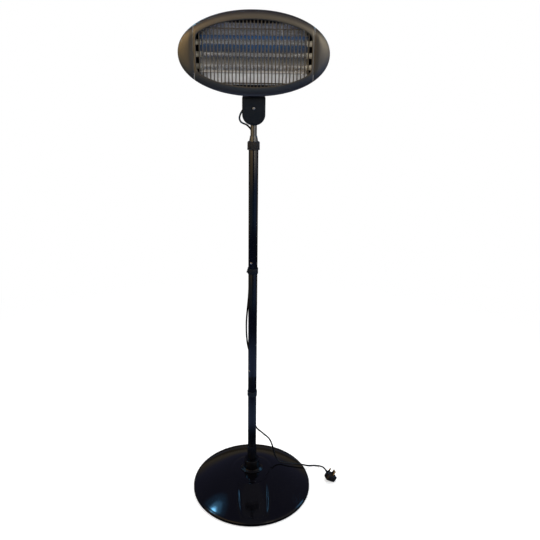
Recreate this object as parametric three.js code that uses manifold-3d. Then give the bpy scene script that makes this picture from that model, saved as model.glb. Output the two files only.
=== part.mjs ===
// Infrared patio heater: an oval head with three quartz tubes on a telescopic pole and a round base.
// Millimetres, +Z up. The origin is on the floor under the pole, and the head faces -Y.

import * as THREE from 'three';
import { mergeVertices } from 'three/addons/utils/BufferGeometryUtils.js';
import Module from 'manifold-3d';

const wasm = await Module();
wasm.setup();

// ---------- driving dimensions ----------

const GAP = 0.3;                 // clearance between pieces that touch

const BASE_RADIUS = 247.5;
const RIM_TOP = 21;              // height of the rolled rim
const COVER_BOTTOM = 4;
const COVER_WALL = 3;
const PLATEAU_RADIUS = 81;
const PLATEAU_Z = 84;
const DOME_POWER = 1.5;          // 1 is a cone, more is rounder
const CHANNEL_TURN = 2.9;        // degrees from straight ahead, towards +X
const CHANNEL_INNER = 96;        // the pressed front channel lies between these radii
const CHANNEL_OUTER = 231;
const CHANNEL_DEPTH = 9.5;
const CHANNEL_HALF_WIDTH = 54;   // at its inner end, less at its outer end
const CHANNEL_TAPER = 8;
const CHANNEL_WALL = 19;         // width of its sloping sides where it is deepest

const POLE_RADIUS = 17;
const POLE_WALL = 1.5;
const POLE_FOOT = 95;
const LOWER_JOINT = 536;
const UPPER_JOINT = 992;
const POLE_TOP = 1440;

const COLLAR_HEIGHT = 22;
const COLLAR_RADIUS = 19.4;
const LOWER_COLLAR_Z = 445;
const UPPER_COLLAR_Z = 972.5;
const LOWER_CLIP_ANGLE = 84;     // degrees from +X, towards the back
const UPPER_CLIP_ANGLE = 122;
const CLIP_REACH = 23.3;         // pole axis to cord centre in a clip
const CLIP_PLAY = 0.7;           // cord to clip

const CORD_RADIUS = 3.25;

const NUT_BOTTOM = 1430;
const NUT_TOP = 1458;
const NUT_RADIUS = 22;
const CONE_TOP = 1477;

const NECK_RADIUS = 11;
const NECK_WALL = 1.5;
const NECK_BOTTOM = 1120;
const NECK_TOP = 1590;

const BOX_BOTTOM = 1514;
const BOX_TOP = 1606;
const BOX_HALF_WIDTH = 39;
const BOX_FRONT = -28;
const BOX_BACK = 32;
const BOX_CORNER = 36;
const BOX_WALL = 2.5;
const BOX_SCREW_Z = 1569;

const PIVOT_Y = 14;
const PIVOT_Z = 1620;
const PIVOT_BOLT_RADIUS = 4;
const KNUCKLE_RADIUS = 11;
const KNUCKLE_HALF_WIDTH = 18;

const HEAD_Z = 1739;             // height of the head's centre
const HEAD_HALF_WIDTH = 243;
const HEAD_HALF_HEIGHT = 130;
const HEAD_POWER = 2.06;         // slightly fuller than an ellipse
const FASCIA_FRONT = -62;
const FASCIA_RIM = -46;
const FASCIA_WALL = 2;
const CREASE_X = 191.5;
const WINDOW_HALF_WIDTH = 184.5;
const WINDOW_OVAL_X = 220;       // the window is this oval, cut off at its half width
const WINDOW_OVAL_Z = 100.3;

const HOUSING_HALF_WIDTH = 230;
const HOUSING_HALF_HEIGHT = 109.5;
const HOUSING_BACK = 20;
const HOUSING_WALL = 2;

const REFLECTOR_HALF_LENGTH = 174;
const REFLECTOR_BACK = -14;
const REFLECTOR_FOLD = 57;
const REFLECTOR_EDGE = 92;

const TUBE_PITCH = 36;
const TUBE_Z_OFFSET = -3;
const TUBE_Y = -30;
const TUBE_RADIUS = 6;
const TUBE_HALF_LENGTH = 170;
const COIL_RADIUS = 3.4;
const CAP_RADIUS = 9;
const CAP_END = 190;

const GUARD_BARS = 31;
const GUARD_PITCH = 11.6;
const GUARD_WIRE_RADIUS = 1.9;
const GUARD_Y = -52;
const GUARD_CROSS_Z = [74, -89];

const PLUG_LENGTH = 53;
const PLUG_HALF_WIDTH = 24;
const PLUG_THICKNESS = 26;
const PLUG_BACK_ROUND = 8;
const PLUG_AXIS_Z = 13;          // the cord's height in the plug's own frame
const PIN_PITCH = 22.2;          // between the two line pins, and from them to the earth pin

// ---------- colours ----------

const paint = (color, roughness, metalness) =>
  new THREE.MeshStandardMaterial({ color, roughness, metalness });

const GLOSS_BLACK = () => paint(0x0c0d10, 0.15, 0.1);
const BLACK_PLASTIC = () => paint(0x15161a, 0.5, 0);
const BRONZE = () => paint(0x6f6a5c, 0.4, 0.7);
const BLACK_STEEL = () => paint(0x23252a, 0.45, 0.6);
const ZINC = () => paint(0xa8abad, 0.35, 1);
const ALUMINIUM = () => paint(0xd5d8db, 0.15, 1);
const QUARTZ = () => paint(0xe8eaec, 0.2, 0);
const CERAMIC = () => paint(0xe6dcc4, 0.6, 0);
const RUBBER = () => paint(0x111111, 0.8, 0);
const CONCRETE = () => paint(0x8d8b86, 0.9, 0);
const BRASS = () => paint(0xc9a24b, 0.3, 1);

// ---------- geometry helpers ----------

// One closed mesh with shared vertices, no flat triangles, and its faces pointing out.
function closed(geometry) {
  const bare = geometry.clone();
  for (const name of Object.keys(bare.attributes)) {
    if (name !== 'position') bare.deleteAttribute(name);
  }
  const merged = mergeVertices(bare, 1e-4);
  const position = merged.attributes.position;
  const kept = [];
  let volume = 0;
  const a = new THREE.Vector3();
  const b = new THREE.Vector3();
  const c = new THREE.Vector3();
  for (let i = 0; i < merged.index.count; i += 3) {
    const [p, q, r] = [0, 1, 2].map((k) => merged.index.getX(i + k));
    if (p === q || q === r || r === p) continue;
    kept.push(p, q, r);
    a.fromBufferAttribute(position, p);
    b.fromBufferAttribute(position, q);
    c.fromBufferAttribute(position, r);
    volume += a.dot(b.cross(c));
  }
  if (volume < 0) kept.reverse();
  const result = new THREE.BufferGeometry();
  result.setAttribute('position', position);
  result.setIndex(kept);
  return result;
}

function solid(geometry) {
  const mesh = closed(geometry);
  return new wasm.Manifold(new wasm.Mesh({
    numProp: 3,
    vertProperties: new Float32Array(mesh.attributes.position.array),
    triVerts: new Uint32Array(mesh.index.array),
  }));
}

function fromSolid(manifold) {
  const mesh = manifold.getMesh();
  const result = new THREE.BufferGeometry();
  result.setAttribute('position', new THREE.BufferAttribute(mesh.vertProperties, 3));
  result.setIndex(new THREE.BufferAttribute(mesh.triVerts, 1));
  return result;
}

const cut = (body, ...tools) =>
  fromSolid(tools.reduce((rest, tool) => rest.subtract(solid(tool)), solid(body)));
const join = (...bodies) => fromSolid(bodies.map(solid).reduce((sum, body) => sum.add(body)));
const common = (body, other) => fromSolid(solid(body).intersect(solid(other)));

// A turned shape about Z from [radius, z] points, closed on itself or on the axis.
function turned(points, segments = 20) {
  const profile = points.map(([r, z]) => new THREE.Vector2(r, z));
  const onAxis = points[0][0] === 0 && points.at(-1)[0] === 0;
  if (!onAxis) profile.push(profile[0].clone());
  return new THREE.LatheGeometry(profile, segments).rotateX(Math.PI / 2);
}

const pipe = (inner, outer, bottom, top, segments = 20) =>
  turned([[inner, bottom], [outer, bottom], [outer, top], [inner, top]], segments);

const disc = (radius, bottom, top, segments = 20) =>
  turned([[0, bottom], [radius, bottom], [radius, top], [0, top]], segments);

const box = (x0, x1, y0, y1, z0, z1) =>
  new THREE.BoxGeometry(x1 - x0, y1 - y0, z1 - z0)
    .translate((x0 + x1) / 2, (y0 + y1) / 2, (z0 + z1) / 2);

// A rod along X or Y, from one coordinate to the other, centred on the other two.
const rodX = (radius, x0, x1, y, z, sides = 24) =>
  new THREE.CylinderGeometry(radius, radius, x1 - x0, sides)
    .rotateZ(-Math.PI / 2).translate((x0 + x1) / 2, y, z);
const rodY = (radius, y0, y1, x, z, sides = 16) =>
  new THREE.CylinderGeometry(radius, radius, y1 - y0, sides).translate(x, (y0 + y1) / 2, z);

// A shape drawn in X and Z, given thickness from y0 to y1.
const plateXZ = (shape, y0, y1, curveSegments = 8) =>
  new THREE.ExtrudeGeometry(shape, { depth: y1 - y0, bevelEnabled: false, curveSegments })
    .rotateX(Math.PI / 2).translate(0, y1, 0);

// A shape drawn in Y and Z, given thickness from x0 to x1.
const YZ_TO_WORLD = new THREE.Matrix4().makeBasis(
  new THREE.Vector3(0, 1, 0), new THREE.Vector3(0, 0, 1), new THREE.Vector3(1, 0, 0));
const plateYZ = (shape, x0, x1, curveSegments = 8) =>
  new THREE.ExtrudeGeometry(shape, { depth: x1 - x0, bevelEnabled: false, curveSegments })
    .applyMatrix4(YZ_TO_WORLD).translate(x0, 0, 0);

const outline = (points) => new THREE.Shape(points.map(([x, y]) => new THREE.Vector2(x, y)));

// A round cord or wire along points.
function tube(points, radius, sides, steps) {
  const path = new THREE.CatmullRomCurve3(points.map((p) => new THREE.Vector3(...p)), false, 'centripetal');
  const section = new THREE.Shape();
  section.absarc(0, 0, radius, 0, 2 * Math.PI);
  return new THREE.ExtrudeGeometry(section, {
    extrudePath: path, steps, bevelEnabled: false, curveSegments: sides / 2,
  });
}

// ---------- the scene ----------

const heater = new THREE.Group();

function add(parent, name, geometry, material) {
  const mesh = new THREE.Mesh(closed(geometry), material);
  mesh.name = name;
  parent.add(mesh);
  return mesh;
}

// ---------- base ----------

const smooth = (edge0, edge1, x) => THREE.MathUtils.smoothstep(x, edge0, edge1);

// Height of the cover's outer face, without the channel.
function domeHeight(r) {
  const t = Math.max(0, (r - PLATEAU_RADIUS) / (BASE_RADIUS - 7.5 - PLATEAU_RADIUS));
  return PLATEAU_Z - (PLATEAU_Z - RIM_TOP) * t ** DOME_POWER;
}

// How far the front channel is pressed below the dome: deepest half way along, with sloping sides.
function channelDip(x, y) {
  const turn = THREE.MathUtils.degToRad(CHANNEL_TURN);
  const across = x * Math.cos(turn) + y * Math.sin(turn);
  const along = x * Math.sin(turn) - y * Math.cos(turn);
  const share = (Math.hypot(x, y) - CHANNEL_INNER) / (CHANNEL_OUTER - CHANNEL_INNER);
  if (along <= 0 || share <= 0 || share >= 1) return 0;
  const swell = Math.sin(Math.PI * share);
  const half = CHANNEL_HALF_WIDTH - CHANNEL_TAPER * share;
  const wall = CHANNEL_WALL * swell ** 0.6 + 2;
  return CHANNEL_DEPTH * swell ** 0.8 * (1 - smooth(half, half + wall, Math.abs(across)));
}

function coverGeometry() {
  const rings = [PLATEAU_RADIUS, 97, 114, 138, 165, 195, 218, 231];
  const top = [[0, PLATEAU_Z], ...rings.map((r) => [r, domeHeight(r)]), [240, RIM_TOP]];
  const rim = [[245.5, 19.5], [BASE_RADIUS, 16.5], [BASE_RADIUS, COVER_BOTTOM]];
  const inside = [[BASE_RADIUS - COVER_WALL, COVER_BOTTOM], [BASE_RADIUS - COVER_WALL, 15]];
  const under = rings.map((r) => [r - 1, domeHeight(r) - COVER_WALL]);
  const profile = [[0, PLATEAU_Z - COVER_WALL], ...under, ...inside.reverse(), ...rim.reverse(),
    ...top.reverse()];
  const cover = turned(profile, 72);
  const position = cover.attributes.position;
  for (let i = 0; i < position.count; i += 1) {
    const [x, y, z] = [position.getX(i), position.getY(i), position.getZ(i)];
    if (z > 14) position.setZ(i, z - channelDip(x, y));
  }
  return cut(cover, disc(6, PLATEAU_Z - 10, PLATEAU_Z + 5, 24));
}

const base = new THREE.Group();
heater.add(base);

add(base, 'base_cover', coverGeometry(), GLOSS_BLACK());
add(base, 'base_plate', pipe(6, 238, COVER_BOTTOM, COVER_BOTTOM + 2, 40), BLACK_STEEL());
add(base, 'base_ballast', turned(
  [[20, 6.5], [175, 6.5], [172, 22], [120, 34], [20, 38]], 36), CONCRETE());
add(base, 'rubber_foot_ring', pipe(212, 234, 0, COVER_BOTTOM - GAP, 40), RUBBER());
add(base, 'base_bolt', turned(
  [[0, 0.6], [10, 0.6], [10, 3.7], [5, 3.7], [5, 118], [0, 118]], 12), ZINC());

const HUB_FOOT = [47, 36];       // half widths of the oval foot, sideways and to the front
const HUB_RADIUS = 32;
const HUB_SEAT = 94.6;
const HUB_TOP = 135.5;
const SLEEVE_RADIUS = 19;
const SLEEVE_TOP = 202;
const hubFoot = turned([[0, PLATEAU_Z + GAP], [HUB_FOOT[0], PLATEAU_Z + GAP], [HUB_FOOT[0], 86.4],
  [36.5, HUB_SEAT], [0, HUB_SEAT]], 40).scale(1, HUB_FOOT[1] / HUB_FOOT[0], 1);
add(base, 'hub_flange', cut(hubFoot, disc(5.6, PLATEAU_Z - 2, HUB_SEAT + 2, 24)), GLOSS_BLACK());
const SLEEVE_BORE = POLE_RADIUS + GAP;
add(base, 'hub_collar', turned(
  [[SLEEVE_BORE, HUB_SEAT + GAP], [HUB_RADIUS, HUB_SEAT + GAP], [HUB_RADIUS, HUB_TOP - 2.5],
    [HUB_RADIUS - 2, HUB_TOP], [SLEEVE_BORE, HUB_TOP]], 32), GLOSS_BLACK());
add(base, 'pole_sleeve', turned(
  [[SLEEVE_BORE, HUB_TOP + GAP], [SLEEVE_RADIUS, HUB_TOP + GAP], [SLEEVE_RADIUS, SLEEVE_TOP - 1.5],
    [SLEEVE_RADIUS - 1, SLEEVE_TOP], [SLEEVE_BORE, SLEEVE_TOP]]), BLACK_STEEL());

// ---------- pole ----------

const pole = new THREE.Group();
heater.add(pole);

const POLE_BORE = POLE_RADIUS - POLE_WALL;
const SPIGOT_RADIUS = POLE_BORE - GAP;
const SPIGOT_REACH = 52;

// A screw through the pole wall, its head outside, turned about the pole by an angle from the front.
const JOINT_SCREWS = [
  ['lower', 562, -43],
  ['upper', 1017, -22],
];
const turnFromFront = (geometry, degrees) => geometry.rotateZ(THREE.MathUtils.degToRad(degrees));
const screwHole = (z, degrees) => turnFromFront(rodY(2.5, -20, -9, 0, z, 12), degrees);

function jointScrew(z, degrees) {
  const profile = [[0, 0], [2.2, 0], [2.2, 7.4], [4.2, 7.4], [3.6, 8.8], [2, 9.7], [0, 10]];
  const screw = turned(profile, 12).rotateX(Math.PI / 2).translate(0, 7 - POLE_RADIUS, z);
  return turnFromFront(screw, degrees);
}

const [lowerScrew, upperScrew] = JOINT_SCREWS;
add(pole, 'pole_lower', pipe(POLE_BORE, POLE_RADIUS, POLE_FOOT, LOWER_JOINT - GAP), GLOSS_BLACK());
add(pole, 'pole_middle', cut(
  pipe(POLE_BORE, POLE_RADIUS, LOWER_JOINT, UPPER_JOINT - GAP),
  screwHole(lowerScrew[1], lowerScrew[2])), GLOSS_BLACK());
add(pole, 'pole_upper', cut(
  pipe(POLE_BORE, POLE_RADIUS, UPPER_JOINT, POLE_TOP),
  screwHole(upperScrew[1], upperScrew[2])), GLOSS_BLACK());
add(pole, 'pole_insert', pipe(5.3, SPIGOT_RADIUS, POLE_FOOT, POLE_FOOT + 30, 24), ZINC());

for (const [[side, screwZ, angle], jointZ] of [[lowerScrew, LOWER_JOINT], [upperScrew, UPPER_JOINT]]) {
  const spigot = pipe(SPIGOT_RADIUS - 1.5, SPIGOT_RADIUS, jointZ - SPIGOT_REACH, jointZ + SPIGOT_REACH);
  add(pole, `spigot_${side}`, cut(spigot, screwHole(screwZ, angle)), ZINC());
  add(pole, `joint_screw_${side}`, jointScrew(screwZ, angle), ZINC());
}

// A collar round the pole with an open C-shaped clip for the cord.
function clipCollar(bottom, clipAngle) {
  const top = bottom + COLLAR_HEIGHT;
  const collar = turned([[POLE_RADIUS + GAP, bottom], [COLLAR_RADIUS - 0.5, bottom],
    [COLLAR_RADIUS, bottom + 0.8], [COLLAR_RADIUS, top - 0.8], [COLLAR_RADIUS - 0.5, top],
    [POLE_RADIUS + GAP, top]]);
  const clip = pipe(CORD_RADIUS + CLIP_PLAY, CORD_RADIUS + 2.4, bottom + 5, top - 5, 20)
    .translate(CLIP_REACH, 0, 0);
  const mouth = box(CLIP_REACH + 1, CLIP_REACH + 8, -2.2, 2.2, bottom, top);
  const bore = disc(CORD_RADIUS + CLIP_PLAY, bottom - 1, top + 1, 20).translate(CLIP_REACH, 0, 0);
  return cut(join(collar, cut(clip, mouth)), bore).rotateZ(THREE.MathUtils.degToRad(clipAngle));
}

// The upper collar's release tab: a wedge on its left, thickest near the bottom.
const tabOutline = outline([[-18.4, 976], [-23, 976], [-23.8, 977.6], [-19.3, 992], [-18.4, 992]]);

add(pole, 'clip_collar_lower', clipCollar(LOWER_COLLAR_Z, LOWER_CLIP_ANGLE), BLACK_PLASTIC());
add(pole, 'clip_collar_upper', join(
  clipCollar(UPPER_COLLAR_Z, UPPER_CLIP_ANGLE), plateXZ(tabOutline, -4, 4)), BLACK_PLASTIC());

const NECK_BORE = NECK_RADIUS + GAP;
add(pole, 'collet', turned([[NECK_BORE, 1398], [SPIGOT_RADIUS, 1398], [SPIGOT_RADIUS, POLE_TOP + GAP],
  [POLE_RADIUS, POLE_TOP + GAP], [POLE_RADIUS, NUT_TOP + GAP], [15.3, NUT_TOP + GAP],
  [NECK_BORE + 1, CONE_TOP], [NECK_BORE, CONE_TOP]]), BLACK_STEEL());

// ---------- height lock nut ----------

function ribbedNut() {
  const ribs = 24;
  const shape = new THREE.Shape();
  for (let i = 0; i < 2 * ribs; i += 1) {
    const radius = i % 2 ? NUT_RADIUS : NUT_RADIUS - 1.3;
    const angle = (i * Math.PI) / ribs;
    const [x, y] = [radius * Math.cos(angle), radius * Math.sin(angle)];
    if (i === 0) shape.moveTo(x, y);
    else shape.lineTo(x, y);
  }
  shape.closePath();
  shape.holes.push(new THREE.Path().absarc(0, 0, POLE_RADIUS + 2 * GAP, 0, 2 * Math.PI, true));
  return new THREE.ExtrudeGeometry(shape, {
    depth: NUT_TOP - NUT_BOTTOM, bevelEnabled: false, curveSegments: 24,
  }).translate(0, 0, NUT_BOTTOM);
}

add(heater, 'height_lock_nut', ribbedNut(), BLACK_PLASTIC());

// ---------- telescopic neck and junction box ----------

const neck = new THREE.Group();
heater.add(neck);

add(neck, 'neck_tube', cut(
  pipe(NECK_RADIUS - NECK_WALL, NECK_RADIUS, NECK_BOTTOM, NECK_TOP),
  rodY(2.5, -14, -6, 0, BOX_SCREW_Z, 12)), ZINC());

// Front outline of the box: square at the top, with large round corners at the bottom.
function boxOutline(inset) {
  const half = BOX_HALF_WIDTH - inset;
  const corner = BOX_CORNER - inset;
  const [bottom, top] = [BOX_BOTTOM + inset, BOX_TOP - inset];
  const shape = new THREE.Shape();
  shape.moveTo(half, bottom + corner);
  shape.lineTo(half, top - 3);
  shape.absarc(half - 3, top - 3, 3, 0, Math.PI / 2);
  shape.lineTo(3 - half, top);
  shape.absarc(3 - half, top - 3, 3, Math.PI / 2, Math.PI);
  shape.lineTo(-half, bottom + corner);
  shape.absarc(corner - half, bottom + corner, corner, Math.PI, 1.5 * Math.PI);
  shape.lineTo(half - corner, bottom);
  shape.absarc(half - corner, bottom + corner, corner, 1.5 * Math.PI, 2 * Math.PI);
  return shape;
}

const neckHole = disc(NECK_RADIUS + GAP, BOX_BOTTOM - 5, BOX_BOTTOM + 20);
const GLAND_X = -26;
const GLAND_Z = 1576;
const SELECTOR_X = 14;
const SELECTOR_Z = 1562;

function boxFront() {
  const shell = plateXZ(boxOutline(0), BOX_FRONT + 2, 0, 6);
  const face = plateXZ(boxOutline(2.5), BOX_FRONT, BOX_FRONT + 2.1, 6);
  const hollow = plateXZ(boxOutline(BOX_WALL), BOX_FRONT + 2 + BOX_WALL, 5, 6);
  return cut(join(shell, face), hollow, neckHole, rodY(2.5, BOX_FRONT - 5, -10, 0, BOX_SCREW_Z, 12));
}

function boxRear() {
  const shell = plateXZ(boxOutline(0), GAP, BOX_BACK, 6);
  const hollow = plateXZ(boxOutline(BOX_WALL), -5, BOX_BACK - BOX_WALL, 6);
  const knuckleShape = new THREE.Shape();
  knuckleShape.moveTo(PIVOT_Y + KNUCKLE_RADIUS, BOX_TOP - 1);
  knuckleShape.lineTo(PIVOT_Y + KNUCKLE_RADIUS, PIVOT_Z);
  knuckleShape.absarc(PIVOT_Y, PIVOT_Z, KNUCKLE_RADIUS, 0, Math.PI);
  knuckleShape.lineTo(PIVOT_Y - KNUCKLE_RADIUS, BOX_TOP - 1);
  const knuckle = plateYZ(knuckleShape, -KNUCKLE_HALF_WIDTH, KNUCKLE_HALF_WIDTH, 10);
  const boltHole = rodX(PIVOT_BOLT_RADIUS + GAP, -60, 60, PIVOT_Y, PIVOT_Z);
  const glandHole = rodY(5.3, BOX_BACK - 10, BOX_BACK + 5, GLAND_X, GLAND_Z);
  const selectorHole = rodY(3.3, BOX_BACK - 10, BOX_BACK + 5, SELECTOR_X, SELECTOR_Z);
  return cut(join(cut(shell, hollow), knuckle), neckHole, boltHole, glandHole, selectorHole);
}

add(neck, 'box_front', boxFront(), BLACK_PLASTIC());
add(neck, 'box_rear', boxRear(), BLACK_PLASTIC());

const screwProfile = [[0, 0], [2.2, 0], [2.2, 21.8], [4.6, 21.8], [4, 23.3], [0, 24]];
add(neck, 'box_screw', turned(screwProfile, 16).rotateX(Math.PI / 2).translate(0, -6.5, BOX_SCREW_Z), ZINC());

// The cord's outlet: a bush through the rear shell with a tapered strain relief behind it.
const GLAND_FOOT = BOX_BACK - BOX_WALL;
const GLAND_LENGTH = 26;
const glandProfile = [[0, -8], [5, -8], [5, 2.8], [8, 2.8], [7.4, 6], [4.6, GLAND_LENGTH], [0, GLAND_LENGTH]];
add(neck, 'cord_gland', turned(glandProfile, 20)
  .rotateX(-Math.PI / 2).translate(GLAND_X, GLAND_FOOT, GLAND_Z), BLACK_PLASTIC());

add(neck, 'terminal_block', box(14, 34, -20, -8, 1560, 1592), CERAMIC());
add(neck, 'tip_over_switch', box(-34, -14, -20, -2, 1550, 1590), BLACK_PLASTIC());
add(neck, 'selector_switch', cut(
  box(SELECTOR_X - 1, SELECTOR_X + 20, 8, 27, SELECTOR_Z - 14, SELECTOR_Z + 14),
  rodY(3.5, 14, 40, SELECTOR_X, SELECTOR_Z)), CERAMIC());

add(neck, 'pivot_bolt', join(
  rodX(PIVOT_BOLT_RADIUS, -30, 36, PIVOT_Y, PIVOT_Z),
  rodX(7, -30, -25, PIVOT_Y, PIVOT_Z, 6)), ZINC());

// ---------- heat selector knob ----------

function selectorKnob() {
  const skirt = rodY(13, BOX_BACK + GAP, BOX_BACK + 4, SELECTOR_X, SELECTOR_Z, 28);
  const grip = box(SELECTOR_X - 3, SELECTOR_X + 3, BOX_BACK + 3, BOX_BACK + 14,
    SELECTOR_Z - 12, SELECTOR_Z + 12);
  const shaft = rodY(2.9, 16, BOX_BACK + 2, SELECTOR_X, SELECTOR_Z);
  return join(skirt, grip, shaft);
}

add(heater, 'selector_knob', selectorKnob(), BLACK_PLASTIC());

// ---------- head ----------

const head = new THREE.Group();
head.position.z = HEAD_Z;
heater.add(head);

// Distance from the head's centre to an oval, in the direction of an angle.
const ovalReach = (angle, halfX, halfZ, power) =>
  ((Math.abs(Math.cos(angle)) / halfX) ** power
    + (Math.abs(Math.sin(angle)) / halfZ) ** power) ** (-1 / power);

function windowReach(angle) {
  const oval = ovalReach(angle, WINDOW_OVAL_X, WINDOW_OVAL_Z, 2);
  return Math.min(oval, WINDOW_HALF_WIDTH / Math.max(1e-6, Math.abs(Math.cos(angle))));
}

// A turned [share, y] profile, stretched so that share 0 and 1 lie on two curves round the head.
function stretched(profile, inner, outer, segments) {
  const ring = profile.map(([share, y]) => [share + 1, y]);
  const geometry = turned(ring, segments);
  const position = geometry.attributes.position;
  for (let i = 0; i < position.count; i += 1) {
    const [x, z, y] = [position.getX(i), position.getY(i), position.getZ(i)];
    const angle = Math.atan2(z, x);
    const share = Math.hypot(x, z) - 1;
    const reach = THREE.MathUtils.lerp(inner(angle), outer(angle), share);
    position.setXYZ(i, reach * Math.cos(angle), y, reach * Math.sin(angle));
  }
  return geometry;
}

const headRim = (angle) => ovalReach(angle, HEAD_HALF_WIDTH, HEAD_HALF_HEIGHT, HEAD_POWER);

// The fascia's sheet from the window's turned lip to the rolled rim, before it is cut in three.
function fasciaSheet() {
  const [front, rim, wall] = [FASCIA_FRONT, FASCIA_RIM, FASCIA_WALL];
  const outside = [[0, front + 7], [0, front + 1], [0.03, front], [0.45, front + 1.5],
    [0.86, front + 6], [0.97, front + 8.5], [1, front + 12], [1, rim]];
  const inside = [[0.96, rim], [0.95, front + 13], [0.85, front + 6 + wall],
    [0.44, front + 1.5 + wall], [0.04, front + wall], [0.035, front + 7]];
  return stretched([...outside, ...inside], windowReach, headRim, 72);
}

const sheet = fasciaSheet();
const centreBlock = box(-CREASE_X, CREASE_X, -100, 0, -200, 200);
const wingBlock = (side) => {
  const near = side * (CREASE_X + GAP);
  const far = side * 300;
  return box(Math.min(near, far), Math.max(near, far), -100, 0, -200, 200);
};
add(head, 'fascia', common(sheet, centreBlock), BRONZE());
add(head, 'wing_left', common(sheet, wingBlock(-1)), BRONZE());
add(head, 'wing_right', common(sheet, wingBlock(1)), BRONZE());

// The bowl behind the fascia: a half profile on the axis, stretched to the housing's oval.
function housingGeometry() {
  const profile = [[0, HOUSING_BACK - HOUSING_WALL], [0.6, HOUSING_BACK - HOUSING_WALL], [0.7, 17], [0.85, 11],
    [0.94, 0], [0.975, -18], [0.985, -50], [1, -50], [0.99, -18], [0.955, 1.5], [0.865, 13], [0.71, 19.3],
    [0.61, HOUSING_BACK], [0, HOUSING_BACK]];
  const bowl = turned(profile, 40);
  const position = bowl.attributes.position;
  for (let i = 0; i < position.count; i += 1) {
    const [x, z, y] = [position.getX(i), position.getY(i), position.getZ(i)];
    position.setXYZ(i, x * HOUSING_HALF_WIDTH, y, z * HOUSING_HALF_HEIGHT);
  }
  const slots = [];
  for (const z of [16, 32, 48]) {
    for (const x of [-88, 0, 88]) slots.push(box(x - 34, x + 34, 10, 30, z - 2.5, z + 2.5));
  }
  return cut(bowl, ...slots);
}

add(head, 'rear_housing', housingGeometry(), BLACK_STEEL());

// Folded trough: sloped flange, flat back, sloped flange, all one sheet.
function reflectorGeometry() {
  const lip = -48;
  const t = 1.2;
  const shift = TUBE_Z_OFFSET / 2;
  const trough = plateYZ(outline([
    [lip, shift + REFLECTOR_EDGE], [REFLECTOR_BACK, shift + REFLECTOR_FOLD],
    [REFLECTOR_BACK, shift - REFLECTOR_FOLD], [lip, shift - REFLECTOR_EDGE],
    [lip, shift - REFLECTOR_EDGE - t], [REFLECTOR_BACK + t, shift - REFLECTOR_FOLD - 0.4],
    [REFLECTOR_BACK + t, shift + REFLECTOR_FOLD + 0.4], [lip, shift + REFLECTOR_EDGE + t],
  ]), -REFLECTOR_HALF_LENGTH, REFLECTOR_HALF_LENGTH);
  const oval = new THREE.Shape();
  oval.absellipse(0, 0, HOUSING_HALF_WIDTH * 0.955, HOUSING_HALF_HEIGHT * 0.955, 0, 2 * Math.PI);
  return common(trough, plateXZ(oval, -60, 0, 48));
}

add(head, 'reflector', reflectorGeometry(), ALUMINIUM());

// Guard: upright wires over the window, two cross wires behind them and a frame behind the lip.
function guardGeometry() {
  const frame = stretched([[0, GUARD_Y + 0.8], [1, GUARD_Y + 0.8], [1, GUARD_Y + 3.8], [0, GUARD_Y + 3.8]],
    (angle) => windowReach(angle) + 0.6, (angle) => windowReach(angle) + 3.6, 40);
  const bars = [frame];
  for (let i = 0; i < GUARD_BARS; i += 1) {
    const x = (i - (GUARD_BARS - 1) / 2) * GUARD_PITCH;
    const half = WINDOW_OVAL_Z * Math.sqrt(1 - (x / WINDOW_OVAL_X) ** 2) + 2.5;
    bars.push(new THREE.CylinderGeometry(GUARD_WIRE_RADIUS, GUARD_WIRE_RADIUS, 2 * half, 4)
      .rotateX(Math.PI / 2).translate(x, GUARD_Y, 0));
  }
  for (const z of GUARD_CROSS_Z) {
    const reach = WINDOW_OVAL_X * Math.sqrt(1 - ((Math.abs(z) + 1) / WINDOW_OVAL_Z) ** 2) + 4;
    bars.push(rodX(GUARD_WIRE_RADIUS, -reach, reach, GUARD_Y + 2.4, z, 6));
  }
  return join(...bars);
}

add(head, 'guard_grille', guardGeometry(), BRONZE());

const TUBE_Z = [1, 0, -1].map((row) => row * TUBE_PITCH + TUBE_Z_OFFSET);
const BRACKET_X = 172.4;

TUBE_Z.forEach((z, index) => {
  const number = index + 1;
  const glass = turned([[TUBE_RADIUS - 1, -TUBE_HALF_LENGTH], [TUBE_RADIUS, -TUBE_HALF_LENGTH],
    [TUBE_RADIUS, TUBE_HALF_LENGTH], [TUBE_RADIUS - 1, TUBE_HALF_LENGTH]], 16)
    .rotateY(Math.PI / 2).translate(0, TUBE_Y, z);
  add(head, `quartz_tube_${number}`, glass, QUARTZ());
  const coil = rodX(COIL_RADIUS, 2 - TUBE_HALF_LENGTH, TUBE_HALF_LENGTH - 2, TUBE_Y, z, 12);
  add(head, `heating_coil_${number}`, coil, ZINC());
  for (const [side, name] of [[-1, 'left'], [1, 'right']]) {
    const cap = turned([[0, TUBE_HALF_LENGTH + GAP], [CAP_RADIUS, TUBE_HALF_LENGTH + GAP],
      [CAP_RADIUS, CAP_END - 3], [CAP_RADIUS - 2.5, CAP_END], [0, CAP_END]], 16)
      .rotateY((side * Math.PI) / 2).translate(0, TUBE_Y, z);
    add(head, `ceramic_cap_${name}_${number}`, cap, CERAMIC());
  }
});

for (const [side, name] of [[-1, 'left'], [1, 'right']]) {
  const x0 = side > 0 ? BRACKET_X : -BRACKET_X - 1.5;
  const holes = TUBE_Z.map((z) => rodX(CAP_RADIUS + GAP, x0 - 5, x0 + 7, TUBE_Y, z));
  const plate = box(x0, x0 + 1.5, -44, REFLECTOR_BACK - GAP, -52, 50);
  add(head, `tube_bracket_${name}`, cut(plate, ...holes), BLACK_STEEL());
}

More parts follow.
